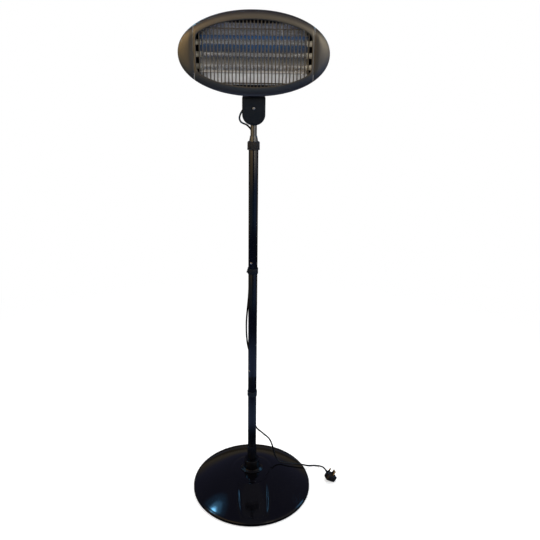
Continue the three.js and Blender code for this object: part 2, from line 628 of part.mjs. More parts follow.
// Channel on the housing's back, its two cheeks reaching down to the pivot.
function tiltBracket() {
  const pivotZ = PIVOT_Z - HEAD_Z;
  const web = HOUSING_BACK + GAP;
  const cheekShape = new THREE.Shape();
  cheekShape.moveTo(web, -22);
  cheekShape.lineTo(web, -86);
  cheekShape.lineTo(PIVOT_Y - KNUCKLE_RADIUS, pivotZ + 5);
  cheekShape.absarc(PIVOT_Y, pivotZ, KNUCKLE_RADIUS, 0.85 * Math.PI, 2.1 * Math.PI);
  cheekShape.lineTo(web + 12, -80);
  cheekShape.lineTo(web + 12, -22);
  const cheeks = [-1, 1].map((side) => {
    const inner = side * (KNUCKLE_HALF_WIDTH + 1);
    const outer = side * (KNUCKLE_HALF_WIDTH + 3.5);
    return plateYZ(cheekShape, Math.min(inner, outer), Math.max(inner, outer), 10);
  });
  const plate = box(-KNUCKLE_HALF_WIDTH - 3, KNUCKLE_HALF_WIDTH + 3, web, web + 2.5, -75, -22);
  return cut(join(plate, ...cheeks), rodX(PIVOT_BOLT_RADIUS + GAP, -60, 60, PIVOT_Y, pivotZ));
}

add(head, 'tilt_bracket', tiltBracket(), BLACK_STEEL());

// ---------- tilt knob ----------

function tiltKnob() {
  const shape = new THREE.Shape();
  const lobes = 6;
  const steps = 36;
  for (let i = 0; i < steps; i += 1) {
    const angle = (i * 2 * Math.PI) / steps;
    const radius = 9.6 + 1.2 * Math.cos(lobes * angle);
    const [y, z] = [PIVOT_Y + radius * Math.cos(angle), PIVOT_Z + radius * Math.sin(angle)];
    if (i === 0) shape.moveTo(y, z);
    else shape.lineTo(y, z);
  }
  shape.closePath();
  const grip = plateYZ(shape, 25, 41);
  const bore = rodX(PIVOT_BOLT_RADIUS + GAP, 15, 36.5, PIVOT_Y, PIVOT_Z);
  return cut(join(grip, rodX(8, 22.2, 26, PIVOT_Y, PIVOT_Z)), bore);
}

add(heater, 'tilt_knob', tiltKnob(), BLACK_PLASTIC());

// ---------- cord and plug ----------

const clipPoint = (angle, z) => {
  const radians = THREE.MathUtils.degToRad(angle);
  return [CLIP_REACH * Math.cos(radians), CLIP_REACH * Math.sin(radians), z];
};
const SPLIT_Z = 1462;            // where the loop under the box meets the fixed run
const [SPLIT_X, SPLIT_Y] = [-4, 27];

const CORD_LOOP = [
  [GLAND_X, GLAND_FOOT + GLAND_LENGTH + GAP, GLAND_Z], [GLAND_X, 58.6, GLAND_Z], [-30.1, 68.7, 1573],
  [-33, 77.2, 1566.3], [-39.3, 83.4, 1554.2], [-47.1, 81.7, 1540.4], [-50.2, 72.5, 1527.6],
  [-43.7, 57.6, 1516], [-21.5, 38.6, 1507], [-7.1, 29.8, 1490.7],
  [SPLIT_X, SPLIT_Y, SPLIT_Z + 6], [SPLIT_X, SPLIT_Y, SPLIT_Z],
];
const CORD_TOP = [
  [SPLIT_X, SPLIT_Y, SPLIT_Z - GAP], [SPLIT_X, SPLIT_Y, 1380], [-7, 24, 1120],
  clipPoint(UPPER_CLIP_ANGLE, UPPER_COLLAR_Z + COLLAR_HEIGHT + 30),
  clipPoint(UPPER_CLIP_ANGLE, UPPER_COLLAR_Z + COLLAR_HEIGHT / 2 + GAP / 2),
];
const CORD_MIDDLE = [
  clipPoint(UPPER_CLIP_ANGLE, UPPER_COLLAR_Z + COLLAR_HEIGHT / 2 - GAP / 2),
  clipPoint(UPPER_CLIP_ANGLE, UPPER_COLLAR_Z - 14),
  [-15.2, 18.9, 880], [-24.3, 19.2, 752], [-19.3, 20.3, 665], [-3, 22, 600], [10, 21.4, 550],
  clipPoint(LOWER_CLIP_ANGLE, LOWER_COLLAR_Z + COLLAR_HEIGHT + 18),
  clipPoint(LOWER_CLIP_ANGLE, LOWER_COLLAR_Z + COLLAR_HEIGHT / 2 + GAP / 2),
];
const CORD_FLOOR = [
  clipPoint(LOWER_CLIP_ANGLE, LOWER_COLLAR_Z + COLLAR_HEIGHT / 2 - GAP / 2),
  clipPoint(LOWER_CLIP_ANGLE, LOWER_COLLAR_Z - 20), [3.5, 23.4, 350], [17, 24, 274], [44, 27, 242],
  [72, 33.5, 209], [87, 40, 170], [100, 45, 114], [122, 43.5, 80.7], [164, 51, 65.3], [216, 76, 38.3],
  [246, 96, 15.8], [262, 107, 5.6], [277, 111, 3.6], [293, 107.5, 4.8], [308, 98, 9.6],
  [320.5, 79, 17], [330.5, 48.8, 20.9],
];

add(neck, 'cord_loop', tube(CORD_LOOP, CORD_RADIUS, 8, 20), RUBBER());
add(pole, 'cord_top', tube(CORD_TOP, CORD_RADIUS, 8, 18), RUBBER());
add(pole, 'cord_middle', tube(CORD_MIDDLE, CORD_RADIUS, 8, 30), RUBBER());
add(pole, 'cord_floor', tube(CORD_FLOOR, CORD_RADIUS, 8, 50), RUBBER());

// The plug lies on its rounded back, rolled to one side by the cord. It is drawn along its own +X,
// with its pins towards +Z.
const plug = new THREE.Group();
plug.position.set(324, 46, 10.1);
plug.rotation.set(THREE.MathUtils.degToRad(-33), 0, THREE.MathUtils.degToRad(-72), 'ZYX');
heater.add(plug);

function plugBody() {
  const corner = 9;
  const [farX, farY] = [PLUG_LENGTH - corner, PLUG_HALF_WIDTH - corner];
  const shape = outline([[11, 9], [11, -9], [19, -19], [26, 1 - PLUG_HALF_WIDTH]]);
  shape.absarc(farX, -farY, corner, -Math.PI / 2, 0);
  shape.absarc(farX, farY, corner, 0, Math.PI / 2);
  shape.lineTo(26, PLUG_HALF_WIDTH - 1);
  shape.lineTo(19, 19);
  const rounded = new THREE.ExtrudeGeometry(shape, {
    depth: PLUG_THICKNESS, bevelThickness: PLUG_BACK_ROUND, bevelSize: PLUG_BACK_ROUND,
    bevelOffset: -PLUG_BACK_ROUND, bevelSegments: 3, curveSegments: 5,
  }).translate(0, 0, PLUG_BACK_ROUND);
  const block = box(0, PLUG_LENGTH + 1, -PLUG_HALF_WIDTH - 1, PLUG_HALF_WIDTH + 1, 0, PLUG_THICKNESS);
  return join(common(rounded, block), rodX(5, GAP, 14, 0, PLUG_AXIS_Z, 16));
}

const PIN_FOOT = PLUG_THICKNESS + GAP;
const EARTH_X = 43;
const LINE_X = EARTH_X - PIN_PITCH;
add(plug, 'plug_body', plugBody(), BLACK_PLASTIC());
add(plug, 'plug_pin_earth', box(EARTH_X - 4, EARTH_X + 4, -2, 2, PIN_FOOT, PIN_FOOT + 22.7), BRASS());
for (const [name, y] of [['live', -PIN_PITCH / 2], ['neutral', PIN_PITCH / 2]]) {
  const pin = box(LINE_X - 2, LINE_X + 2, y - 3.2, y + 3.2, PIN_FOOT, PIN_FOOT + 17.7);
  add(plug, `plug_pin_${name}`, pin, BRASS());
}

export default heater;
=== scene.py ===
import math

import bmesh
import bpy
from mathutils import Matrix, Vector


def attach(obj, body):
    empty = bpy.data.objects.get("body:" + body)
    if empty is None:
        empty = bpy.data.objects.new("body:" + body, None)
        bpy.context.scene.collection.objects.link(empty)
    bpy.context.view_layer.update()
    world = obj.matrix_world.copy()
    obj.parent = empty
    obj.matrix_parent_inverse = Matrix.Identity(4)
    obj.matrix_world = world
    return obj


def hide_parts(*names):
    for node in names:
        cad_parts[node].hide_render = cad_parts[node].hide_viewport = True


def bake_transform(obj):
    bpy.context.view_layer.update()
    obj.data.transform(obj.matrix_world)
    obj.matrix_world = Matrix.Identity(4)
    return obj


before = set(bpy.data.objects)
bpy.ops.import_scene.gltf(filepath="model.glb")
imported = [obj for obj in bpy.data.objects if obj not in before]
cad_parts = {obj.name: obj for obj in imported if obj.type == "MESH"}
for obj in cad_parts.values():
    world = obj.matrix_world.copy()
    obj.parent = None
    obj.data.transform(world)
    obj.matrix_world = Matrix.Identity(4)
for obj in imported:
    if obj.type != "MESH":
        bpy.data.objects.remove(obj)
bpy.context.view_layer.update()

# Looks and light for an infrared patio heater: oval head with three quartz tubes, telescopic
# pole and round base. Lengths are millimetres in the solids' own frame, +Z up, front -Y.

MM = 0.001
SCENE = bpy.context.scene


# ---------- camera, floor and light ----------

LENS = 38.07
CAMERA_PLACE = (0, -1.9975, 1.7269)
CAMERA_YAW = 1.83
CAMERA_PITCH = 20.34
CAMERA_ROLL = 0.95


def linked(name, data):
    """A new object in the scene."""
    made = bpy.data.objects.new(name, data)
    SCENE.collection.objects.link(made)
    return made


def photograph_camera():
    yaw, pitch, roll = (math.radians(a) for a in (CAMERA_YAW, CAMERA_PITCH, CAMERA_ROLL))
    forward = Vector((math.sin(yaw) * math.cos(pitch), math.cos(yaw) * math.cos(pitch), -math.sin(pitch)))
    level = Vector((math.cos(yaw), -math.sin(yaw), 0))
    upright = level.cross(forward)
    right = level * math.cos(roll) + upright * math.sin(roll)
    up = upright * math.cos(roll) - level * math.sin(roll)
    data = bpy.data.cameras.new("photograph_camera")
    data.lens = LENS
    camera = linked("photograph_camera", data)
    turned_to_view = Matrix((right, up, -forward)).transposed().to_4x4()
    camera.matrix_world = Matrix.Translation(CAMERA_PLACE) @ turned_to_view
    SCENE.camera = camera


def soft_lamp(name, place, target, width, height, power, colour=(1, 1, 1)):
    """A rectangular studio lamp that faces a target, both in metres. Glossy surfaces see the room instead."""
    data = bpy.data.lights.new(name, "AREA")
    data.shape = "RECTANGLE"
    data.size, data.size_y = width, height
    data.energy = power
    data.color = colour
    lamp = linked(name, data)
    lamp.visible_glossy = False
    aim = Vector(target) - Vector(place)
    lamp.matrix_world = Matrix.Translation(place) @ aim.to_track_quat("-Z", "Y").to_matrix().to_4x4()


# ---------- finishes ----------

class Value:
    """A number that varies over a surface. Sums with it add their Math nodes."""

    def __init__(self, finish, socket):
        self.finish = finish
        self.socket = socket

    def _sum(self, operation, first, second):
        node = self.finish.node("ShaderNodeMath", {"operation": operation}, {0: first, 1: second})
        return Value(self.finish, node.outputs[0])

    def __add__(self, other):
        return self._sum("ADD", self, other)

    def __rsub__(self, other):
        return self._sum("SUBTRACT", other, self)

    def __mul__(self, other):
        return self._sum("MULTIPLY", self, other)

    __radd__ = __add__
    __rmul__ = __mul__

    def above(self, low, high):
        """0 below low, 1 over high, and a smooth step between."""
        node = self.finish.node("ShaderNodeMapRange", {"interpolation_type": "SMOOTHSTEP"},
                                {"Value": self, "From Min": low, "From Max": high})
        return Value(self.finish, node.outputs[0])


class Nodes:
    """A node tree that is filled through one method."""

    def __init__(self, tree):
        self.tree = tree
        tree.nodes.clear()

    def node(self, kind, settings=None, inputs=None):
        node = self.tree.nodes.new(kind)
        for name, value in (settings or {}).items():
            setattr(node, name, value)
        for key, value in (inputs or {}).items():
            if isinstance(value, Value):
                value = value.socket
            if isinstance(value, bpy.types.NodeSocket):
                self.tree.links.new(value, node.inputs[key])
            else:
                node.inputs[key].default_value = value
        return node

    def surface(self, kind, **inputs):
        """The output of a shader of a kind, such as Emission."""
        return self.node("ShaderNode" + kind, inputs=inputs).outputs[0]

    def either(self, amount, first, second):
        """The first shader at 0 and the second at 1."""
        return self.node("ShaderNodeMixShader", inputs={0: amount, 1: first, 2: second}).outputs[0]

    def ray(self, *kinds):
        """1 for rays of any of the kinds, such as Is Camera Ray."""
        path = self.node("ShaderNodeLightPath")
        total = Value(self, path.outputs[kinds[0]])
        for kind in kinds[1:]:
            total = total + path.outputs[kind]
        return total.above(0, 1)

    def mixed(self, amount, first, second):
        """A colour between two, by an amount from 0 to 1. Each is a socket, or red, green and blue."""
        first, second = (rgb(*colour) if isinstance(colour, tuple) else colour for colour in (first, second))
        return self.node("ShaderNodeMix", {"data_type": "RGBA"}, {0: amount, 6: first, 7: second}).outputs[2]


class Finish(Nodes):
    """One material: a Principled shader and what varies it over the surface."""

    def __init__(self, name, slot, fixed):
        self.material = bpy.data.materials.new(name)
        self.material.use_nodes = True
        self.slot = slot
        super().__init__(self.material.node_tree)
        self.shader = self.node("ShaderNodeBsdfPrincipled", inputs=fixed)
        self.node("ShaderNodeOutputMaterial", inputs={"Surface": self.shader.outputs[0]})
        self.place = self.node("ShaderNodeTexCoord").outputs["Object"]

    def stretched(self, scale):
        return self.node("ShaderNodeMapping", inputs={"Vector": self.place, "Scale": scale}).outputs[0]

    def noise(self, scale, detail=2.0, roughness=0.5, stretch=None):
        vector = self.stretched(stretch) if stretch else self.place
        node = self.node("ShaderNodeTexNoise", inputs={
            "Vector": vector, "Scale": scale, "Detail": detail, "Roughness": roughness})
        return Value(self, node.outputs[0])

    def cells(self, scale):
        node = self.node("ShaderNodeTexVoronoi", inputs={"Vector": self.place, "Scale": scale})
        return Value(self, node.outputs["Distance"])

    def facing_up(self):
        """1 where the surface faces up."""
        normal = self.node("ShaderNodeNewGeometry").outputs["Normal"]
        return Value(self, self.node("ShaderNodeSeparateXYZ", inputs={0: normal}).outputs["Z"])

    def feed(self, name, value):
        socket = value.socket if isinstance(value, Value) else value
        self.tree.links.new(socket, self.shader.inputs[name])

    def relief(self, height, distance):
        bump = {"Height": height, "Distance": distance, "Strength": 1.0}
        self.feed("Normal", self.node("ShaderNodeBump", inputs=bump).outputs[0])


def rgb(red, green, blue):
    return (red, green, blue, 1)


def gloss_plastic(name="gloss_black_plastic", waves=0.0016, haze=0.065, index=1.45):
    """Injection-moulded gloss black: slow waves in the reflection, fine dust and hairline rubs."""
    f = Finish(name, "gloss_black_plastic", {"IOR": index})
    # Fine dust where the surface faces up.
    pale_on_top = f.noise(900, 2).above(0.6, 0.78) * f.facing_up().above(0.5, 1) * f.noise(9, 3).above(0.35, 0.7)
    tone = f.mixed(f.noise(5, 3), (0.0008, 0.0008, 0.0012), (0.0017, 0.0016, 0.0024))
    f.feed("Base Color", f.mixed(pale_on_top * 0.5, tone, (0.030, 0.029, 0.028)))
    rubs = f.noise(40, 4, 0.7, (1, 7, 3)).above(0.55, 0.8)
    f.feed("Roughness", haze + 0.04 * f.noise(11, 3) + 0.03 * rubs + 0.25 * pale_on_top)
    f.relief(f.noise(7, 1) + 0.012 * f.noise(160, 2), waves)
    return f


def gloss_paint():
    """Stoved gloss black on steel tube: orange peel and a slight blue cast."""
    f = Finish("gloss_black_paint", "gloss_black_paint", {"IOR": 1.5})
    f.feed("Base Color", f.mixed(f.noise(14, 3), (0.0007, 0.0010, 0.0022), (0.0014, 0.0018, 0.0036)))
    f.feed("Roughness", 0.13 + 0.09 * f.noise(30, 4, 0.6, (1, 1, 0.2)))
    f.relief(f.noise(420, 2) + 0.3 * f.noise(60, 1), 0.00005)
    return f


def moulded_plastic(name="moulded_black_plastic", tone=(0.0014, 0.0042, 0.0085), grain=1700.0):
    """Black plastic with a fine spark-eroded grain, polished a little where it is handled."""
    f = Finish(name, "black_plastic", {"IOR": 1.42})
    spread = f.noise(23, 3)
    darker = tuple(0.6 * channel for channel in tone)
    f.feed("Base Color", f.mixed(spread, darker, tone))
    f.feed("Roughness", 0.36 + 0.16 * f.noise(45, 3) + 0.06 * f.noise(grain, 1))
    f.relief(f.noise(grain, 3) + 0.4 * f.cells(grain * 0.55), 0.00004)
    return f


def bronze_paint():
    """Warm grey-brown metallic enamel: fine flakes under lacquer, a slow drift of tone."""
    f = Finish("bronze_paint", "bronze_paint", {"Coat Roughness": 0.22, "Coat Weight": 0.35})
    drift = f.noise(6, 3)
    flakes = f.cells(2600).above(0.05, 0.42)
    tone = f.mixed(drift, (0.108, 0.097, 0.078), (0.138, 0.126, 0.103))
    f.feed("Base Color", f.mixed(0.45 * flakes, tone, (0.20, 0.188, 0.165)))
    f.feed("Metallic", 0.92 + 0.06 * flakes)
    f.feed("Roughness", 0.3 + 0.09 * f.noise(28, 4) + 0.05 * flakes)
    f.relief(f.noise(520, 2) + 0.5 * f.cells(2600), 0.00003)
    return f


def dark_steel():
    """Sheet steel under thin black coating, with rolling marks."""
    f = Finish("dark_steel", "dark_steel", {})
    streaks = f.noise(60, 4, 0.6, (1, 6, 6))
    f.feed("Base Color", f.mixed(streaks, (0.021, 0.022, 0.025), (0.043, 0.044, 0.049)))
    f.feed("Metallic", 0.55 + 0.2 * f.noise(18, 2))
    f.feed("Roughness", 0.36 + 0.2 * streaks)
    f.relief(f.noise(700, 3) + 0.6 * streaks, 0.00005)
    return f


def satin_steel():
    """Dark satin tube and cone, turned marks round the axis."""
    f = Finish("satin_steel", "dark_steel", {"Metallic": 1.0})
    turning = f.noise(90, 4, 0.6, (0.4, 0.4, 30))
    f.feed("Base Color", f.mixed(f.noise(20, 3), (0.090, 0.095, 0.102), (0.140, 0.146, 0.152)))
    f.feed("Roughness", 0.24 + 0.14 * turning)
    f.relief(turning, 0.00003)
    return f


def zinc_steel():
    """Bright zinc plate with a faint spangle and turning lines."""
    f = Finish("zinc_steel", "zinc_steel", {"Metallic": 1.0})
    spangle = f.cells(420)
    f.feed("Base Color", f.mixed(spangle, (0.40, 0.41, 0.42), (0.60, 0.61, 0.61)))
    f.feed("Roughness", 0.26 + 0.18 * f.noise(240, 3))
    f.relief(spangle + 0.5 * f.noise(900, 2), 0.00004)
    return f


def bright_aluminium():
    """Polished aluminium sheet: rolling lines, slight handling waves, and a painted highlight where it faces
    up.
    """
    f = Finish("polished_aluminium", "polished_aluminium", {})
    lines = f.noise(50, 5, 0.65, (0.5, 18, 18))
    haze = f.noise(8, 4).above(0.35, 0.75)
    # Painted highlight: faces turned up are made pale and less metallic, so that lamp light shows the bottom
    # flange white.
    pale_on_top = f.facing_up().above(0.25, 0.65) * (0.7 + 0.3 * f.noise(60, 3))
    sheet = f.mixed(haze, (0.74, 0.76, 0.80), (0.62, 0.65, 0.70))
    f.feed("Base Color", f.mixed(pale_on_top, sheet, (0.90, 0.90, 0.91)))
    f.feed("Metallic", 1 - 0.85 * pale_on_top)
    f.feed("Roughness", 0.1 + 0.1 * lines + 0.08 * haze)
    f.relief(0.15 * lines + f.noise(22, 1), 0.0006)
    return f


def milky_quartz():
    """Sand-blasted quartz tube: milky and streaked along its length."""
    f = Finish("milky_quartz", "quartz", {"IOR": 1.46, "Transmission Weight": 0.88})
    streaks = f.noise(70, 4, 0.6, (0.25, 8, 8))
    f.feed("Base Color", f.mixed(streaks, (0.84, 0.86, 0.89), (0.94, 0.95, 0.96)))
    f.feed("Roughness", 0.1 + 0.16 * streaks)
    f.relief(f.noise(900, 3), 0.00003)
    return f


def heating_wire():
    """Resistance wire darkened by heat, in brown and blue bands."""
    f = Finish("heating_wire", "zinc_steel", {"Metallic": 1.0})
    bands = f.noise(35, 2, 0.5, (1, 0.1, 0.1))
    f.feed("Base Color", f.mixed(bands, (0.34, 0.31, 0.28), (0.42, 0.43, 0.46)))
    f.feed("Roughness", 0.4 + 0.2 * f.noise(300, 2))
    return f


def ceramic():
    """Unglazed steatite: cream, chalky, with fine pits and a grey smear of handling."""
    f = Finish("ceramic", "ceramic", {})
    pits = f.noise(1500, 3).above(0.62, 0.75)
    tone = f.mixed(f.noise(90, 3), (0.62, 0.55, 0.42), (0.75, 0.69, 0.57))
    f.feed("Base Color", f.mixed(0.6 * pits, tone, (0.30, 0.26, 0.2)))
    f.feed("Roughness", 0.55 + 0.2 * f.noise(300, 2))
    f.relief(1 - pits, 0.00006)
    return f


def cord_sheath():
    """Black PVC sheath, semi-gloss, drawn along its length."""
    f = Finish("cord_sheath", "black_rubber", {"IOR": 1.36})
    f.feed("Base Color", f.mixed(f.noise(60, 3), (0.0012, 0.0012, 0.0016), (0.0032, 0.0032, 0.0038)))
    f.feed("Roughness", 0.38 + 0.2 * f.noise(220, 3))
    f.relief(f.noise(1200, 2), 0.00003)
    return f


def foot_rubber():
    f = Finish("foot_rubber", "black_rubber", {})
    f.feed("Base Color", f.mixed(f.noise(70, 4), (0.008, 0.008, 0.008), (0.022, 0.021, 0.02)))
    f.feed("Roughness", 0.72 + 0.15 * f.noise(200, 2))
    f.relief(f.noise(1300, 3), 0.0001)
    return f


def brass():
    """Plug pins: drawn brass with bright drag lines from the socket."""
    f = Finish("brass", "brass", {"Metallic": 1.0})
    drag = f.noise(300, 4, 0.6, (6, 6, 0.3))
    f.feed("Base Color", f.mixed(drag, (0.58, 0.38, 0.13), (0.78, 0.57, 0.24)))
    f.feed("Roughness", 0.2 + 0.2 * drag)
    f.relief(drag, 0.00003)
    return f


def concrete():
    f = Finish("concrete", "concrete", {})
    stones = f.cells(180).above(0.1, 0.5)
    f.feed("Base Color", f.mixed(stones, (0.20, 0.19, 0.18), (0.33, 0.32, 0.30)))
    f.feed("Roughness", 0.82 + 0.12 * f.noise(300, 3))
    f.relief(f.noise(400, 5) + 0.5 * stones, 0.0008)
    return f


GLOSS_PLASTIC = gloss_plastic()
HUB_GLOSS = gloss_plastic("hub_black_plastic", 0.0003, 0.3, 1.33)
GLOSS_PAINT = gloss_paint()
PLASTIC = moulded_plastic()
PLUG_PLASTIC = moulded_plastic("plug_plastic", (0.0045, 0.0038, 0.0032))
SATIN_PLASTIC = moulded_plastic("satin_black_plastic", (0.012, 0.012, 0.0135), 900.0)
BRONZE = bronze_paint()
DARK_STEEL = dark_steel()
SATIN_STEEL = satin_steel()
ZINC = zinc_steel()
ALUMINIUM = bright_aluminium()
QUARTZ = milky_quartz()
HEATING_WIRE = heating_wire()
CERAMIC = ceramic()
SHEATH = cord_sheath()
FOOT_RUBBER = foot_rubber()
BRASS = brass()
CONCRETE = concrete()


# ---------- making pieces ----------

def welded(bm):
    """Merges points that lie on each other and turns the faces outwards."""
    bmesh.ops.remove_doubles(bm, verts=bm.verts, dist=0.001)
    bmesh.ops.recalc_face_normals(bm, faces=bm.faces)


def piece(name, bm, finish, body, nodes=(), crease=35):
    """A bmesh drawn in millimetres becomes a piece in metres that moves with a body."""
    welded(bm)
    bmesh.ops.scale(bm, vec=(MM, MM, MM), verts=bm.verts)
    mesh = bpy.data.meshes.new(name)
    bm.to_mesh(mesh)
    bm.free()
    mesh.shade_smooth()
    mesh.set_sharp_from_angle(angle=math.radians(crease))
    mesh.materials.append(finish.material)
    made = linked(name, mesh)
    if body:
        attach(made, body)
    if nodes:
        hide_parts(*nodes)
    return made


def rounded(bm, edges, width, steps):
    bmesh.ops.bevel(bm, geom=edges, offset=width, offset_type="OFFSET", affect="EDGES",
                    segments=steps, profile=0.5, material=-1, clamp_overlap=True)
    return bm


def soften(bm, width, steps=3, angle=30):
    """Rounds every edge that is sharper than an angle."""
    welded(bm)
    sharp = [e for e in bm.edges if e.is_manifold and e.calc_face_angle() > math.radians(angle)]
    return rounded(bm, sharp, width, steps)


def turned(points, steps=96):
    """A profile of radius and height, spun about Z. It closes on itself, or on the axis."""
    bm = bmesh.new()
    chain = [bm.verts.new((r, 0, z)) for r, z in points]
    edges = [bm.edges.new(pair) for pair in zip(chain, chain[1:])]
    if points[0][0] or points[-1][0]:
        edges.append(bm.edges.new((chain[-1], chain[0])))
    bmesh.ops.spin(bm, geom=chain + edges, cent=(0, 0, 0), axis=(0, 0, 1), angle=2 * math.pi,
                   steps=steps, use_merge=True, use_duplicate=False)
    bmesh.ops.remove_doubles(bm, verts=bm.verts, dist=0.001)
    return bm


def pipe(inner, outer, low, high, steps=64):
    """A straight pipe about Z."""
    return turned([(inner, low), (outer, low), (outer, high), (inner, high)], steps)


def drawn_in(bm, inside, ramp, depth, above=-1):
    """Draws what lies outside a radius and over a height towards Z, by a depth for each angle."""
    for vert in bm.verts:
        r = math.hypot(vert.co.x, vert.co.y)
        if r > inside and vert.co.z > above:
            angle = math.atan2(vert.co.y, vert.co.x)
            shrink = 1 - depth(angle) / r * min(1, (r - inside) / ramp)
            vert.co.x, vert.co.y = vert.co.x * shrink, vert.co.y * shrink
    return bm


def turn(bm, degrees, axis):
    matrix = Matrix.Rotation(math.radians(degrees), 3, axis)
    bmesh.ops.rotate(bm, cent=(0, 0, 0), matrix=matrix, verts=bm.verts)
    return bm


def move(bm, offset):
    bmesh.ops.translate(bm, vec=offset, verts=bm.verts)
    return bm


def together(*parts):
    """Several bmeshes as one."""
    whole = bmesh.new()
    for part in parts:
        mesh = bpy.data.meshes.new("part")
        part.to_mesh(mesh)
        part.free()
        whole.from_mesh(mesh)
        bpy.data.meshes.remove(mesh)
    return whole


def slab(outline, low, high, across="Y"):
    """An outline given thickness. It is drawn in X and Z across Y, in Y and Z across X, or in X and Y."""
    spot = {
        "Y": lambda a, b: (a, low, b),
        "X": lambda a, b: (low, a, b),
        "Z": lambda a, b: (a, b, low),
    }[across]
    way = {"Y": (0, 1, 0), "X": (1, 0, 0), "Z": (0, 0, 1)}[across]
    bm = bmesh.new()
    face = bm.faces.new([bm.verts.new(spot(a, b)) for a, b in outline])
    grown = bmesh.ops.extrude_face_region(bm, geom=[face])["geom"]
    lifted = [g for g in grown if isinstance(g, bmesh.types.BMVert)]
    bmesh.ops.translate(bm, vec=Vector(way) * (high - low), verts=lifted)
    bmesh.ops.recalc_face_normals(bm, faces=bm.faces)
    return bm


def block(x0, x1, y0, y1, z0, z1):
    bm = bmesh.new()
    bmesh.ops.create_cube(bm, size=1)
    bmesh.ops.scale(bm, vec=(x1 - x0, y1 - y0, z1 - z0), verts=bm.verts)
    return move(bm, ((x0 + x1) / 2, (y0 + y1) / 2, (z0 + z1) / 2))


def arc(a, b, radius, start, end, steps=8):
    """Points of an arc about (a, b), from one angle to another in degrees."""
    turns = [math.radians(start + (end - start) * i / steps) for i in range(steps + 1)]
    return [(a + radius * math.cos(t), b + radius * math.sin(t)) for t in turns]


def wire(start, end, radius, sides=10):
    """A straight round wire with slightly rounded ends."""
    way = Vector(end) - Vector(start)
    bm = bmesh.new()
    bmesh.ops.create_cone(bm, cap_ends=True, segments=sides, radius1=radius, radius2=radius, depth=way.length)
    bmesh.ops.rotate(bm, cent=(0, 0, 0), matrix=way.to_track_quat("Z", "Y").to_matrix(), verts=bm.verts)
    return move(bm, (Vector(start) + Vector(end)) / 2)


def carved(bm, *cutters):
    """A bmesh less others, by Blender's exact boolean."""
    def shown(shape):
        bmesh.ops.recalc_face_normals(shape, faces=shape.faces)
        mesh = bpy.data.meshes.new("carving")
        shape.to_mesh(mesh)
        shape.free()
        return linked("carving", mesh)
    body = shown(bm)
    tools = [shown(cutter) for cutter in cutters]
    for tool in tools:
        modifier = body.modifiers.new("carve", "BOOLEAN")
        modifier.operation, modifier.solver, modifier.object = "DIFFERENCE", "EXACT", tool
    result = bmesh.new()
    result.from_mesh(body.evaluated_get(bpy.context.evaluated_depsgraph_get()).to_mesh())
    for obj in (body, *tools):
        mesh = obj.data
        bpy.data.objects.remove(obj)
        bpy.data.meshes.remove(mesh)
    return result


def flowing(points, gap):
    """A smooth line through points (centripetal Catmull-Rom), resampled at an even gap."""
    spots = [Vector(p) for p in points]
    spots = [2 * spots[0] - spots[1], *spots, 2 * spots[-1] - spots[-2]]
    line = []
    for p0, p1, p2, p3 in zip(spots, spots[1:], spots[2:], spots[3:]):
        d0, d1, d2 = (max(1e-4, (b - a).length ** 0.5) for a, b in ((p0, p1), (p1, p2), (p2, p3)))
        m1 = ((p1 - p0) / d0 - (p2 - p0) / (d0 + d1) + (p2 - p1) / d1) * d1
        m2 = ((p2 - p1) / d1 - (p3 - p1) / (d1 + d2) + (p3 - p2) / d2) * d1
        for i in range(24):
            t = i / 24
            line.append(p1 * (2 * t ** 3 - 3 * t ** 2 + 1) + m1 * (t ** 3 - 2 * t ** 2 + t)
                        + p2 * (3 * t ** 2 - 2 * t ** 3) + m2 * (t ** 3 - t ** 2))
    line.append(spots[-2])
    even, run = [line[0]], 0.0
    for a, b in zip(line, line[1:]):
        step = (b - a).length
        while run + step >= gap:
            a = a.lerp(b, (gap - run) / step)
            step, run = (b - a).length, 0.0
            even.append(a.copy())
        run += step
    return [*even[:-1], line[-1]]


def tube(points, radius, resolution=3):
    """A round tube along points, as a bmesh in the points' own unit."""
    curve = bpy.data.curves.new("tube", "CURVE")
    curve.dimensions = "3D"
    curve.bevel_depth = radius
    curve.bevel_resolution = resolution
    curve.use_fill_caps = True
    spline = curve.splines.new("POLY")
    spline.points.add(len(points) - 1)
    for point, spot in zip(spline.points, points):
        point.co = (*spot, 1)
    holder = linked("tube", curve)
    bm = bmesh.new()
    bm.from_mesh(holder.evaluated_get(bpy.context.evaluated_depsgraph_get()).to_mesh())
    bpy.data.objects.remove(holder)
    bpy.data.curves.remove(curve)
    return bm


photograph_camera()


# ---------- cord and plug ----------

CORD_RADIUS = 3.25
CLIP_REACH = 23.3                # pole's axis to the cord's centre in a clip
LOWER_CLIP_ANGLE = 84            # degrees from +X, towards the back
UPPER_CLIP_ANGLE = 122
LOWER_COLLAR_Z = 445
UPPER_COLLAR_Z = 972.5
COLLAR_HEIGHT = 22


def clip_point(angle, z):
    t = math.radians(angle)
    return (CLIP_REACH * math.cos(t), CLIP_REACH * math.sin(t), z)


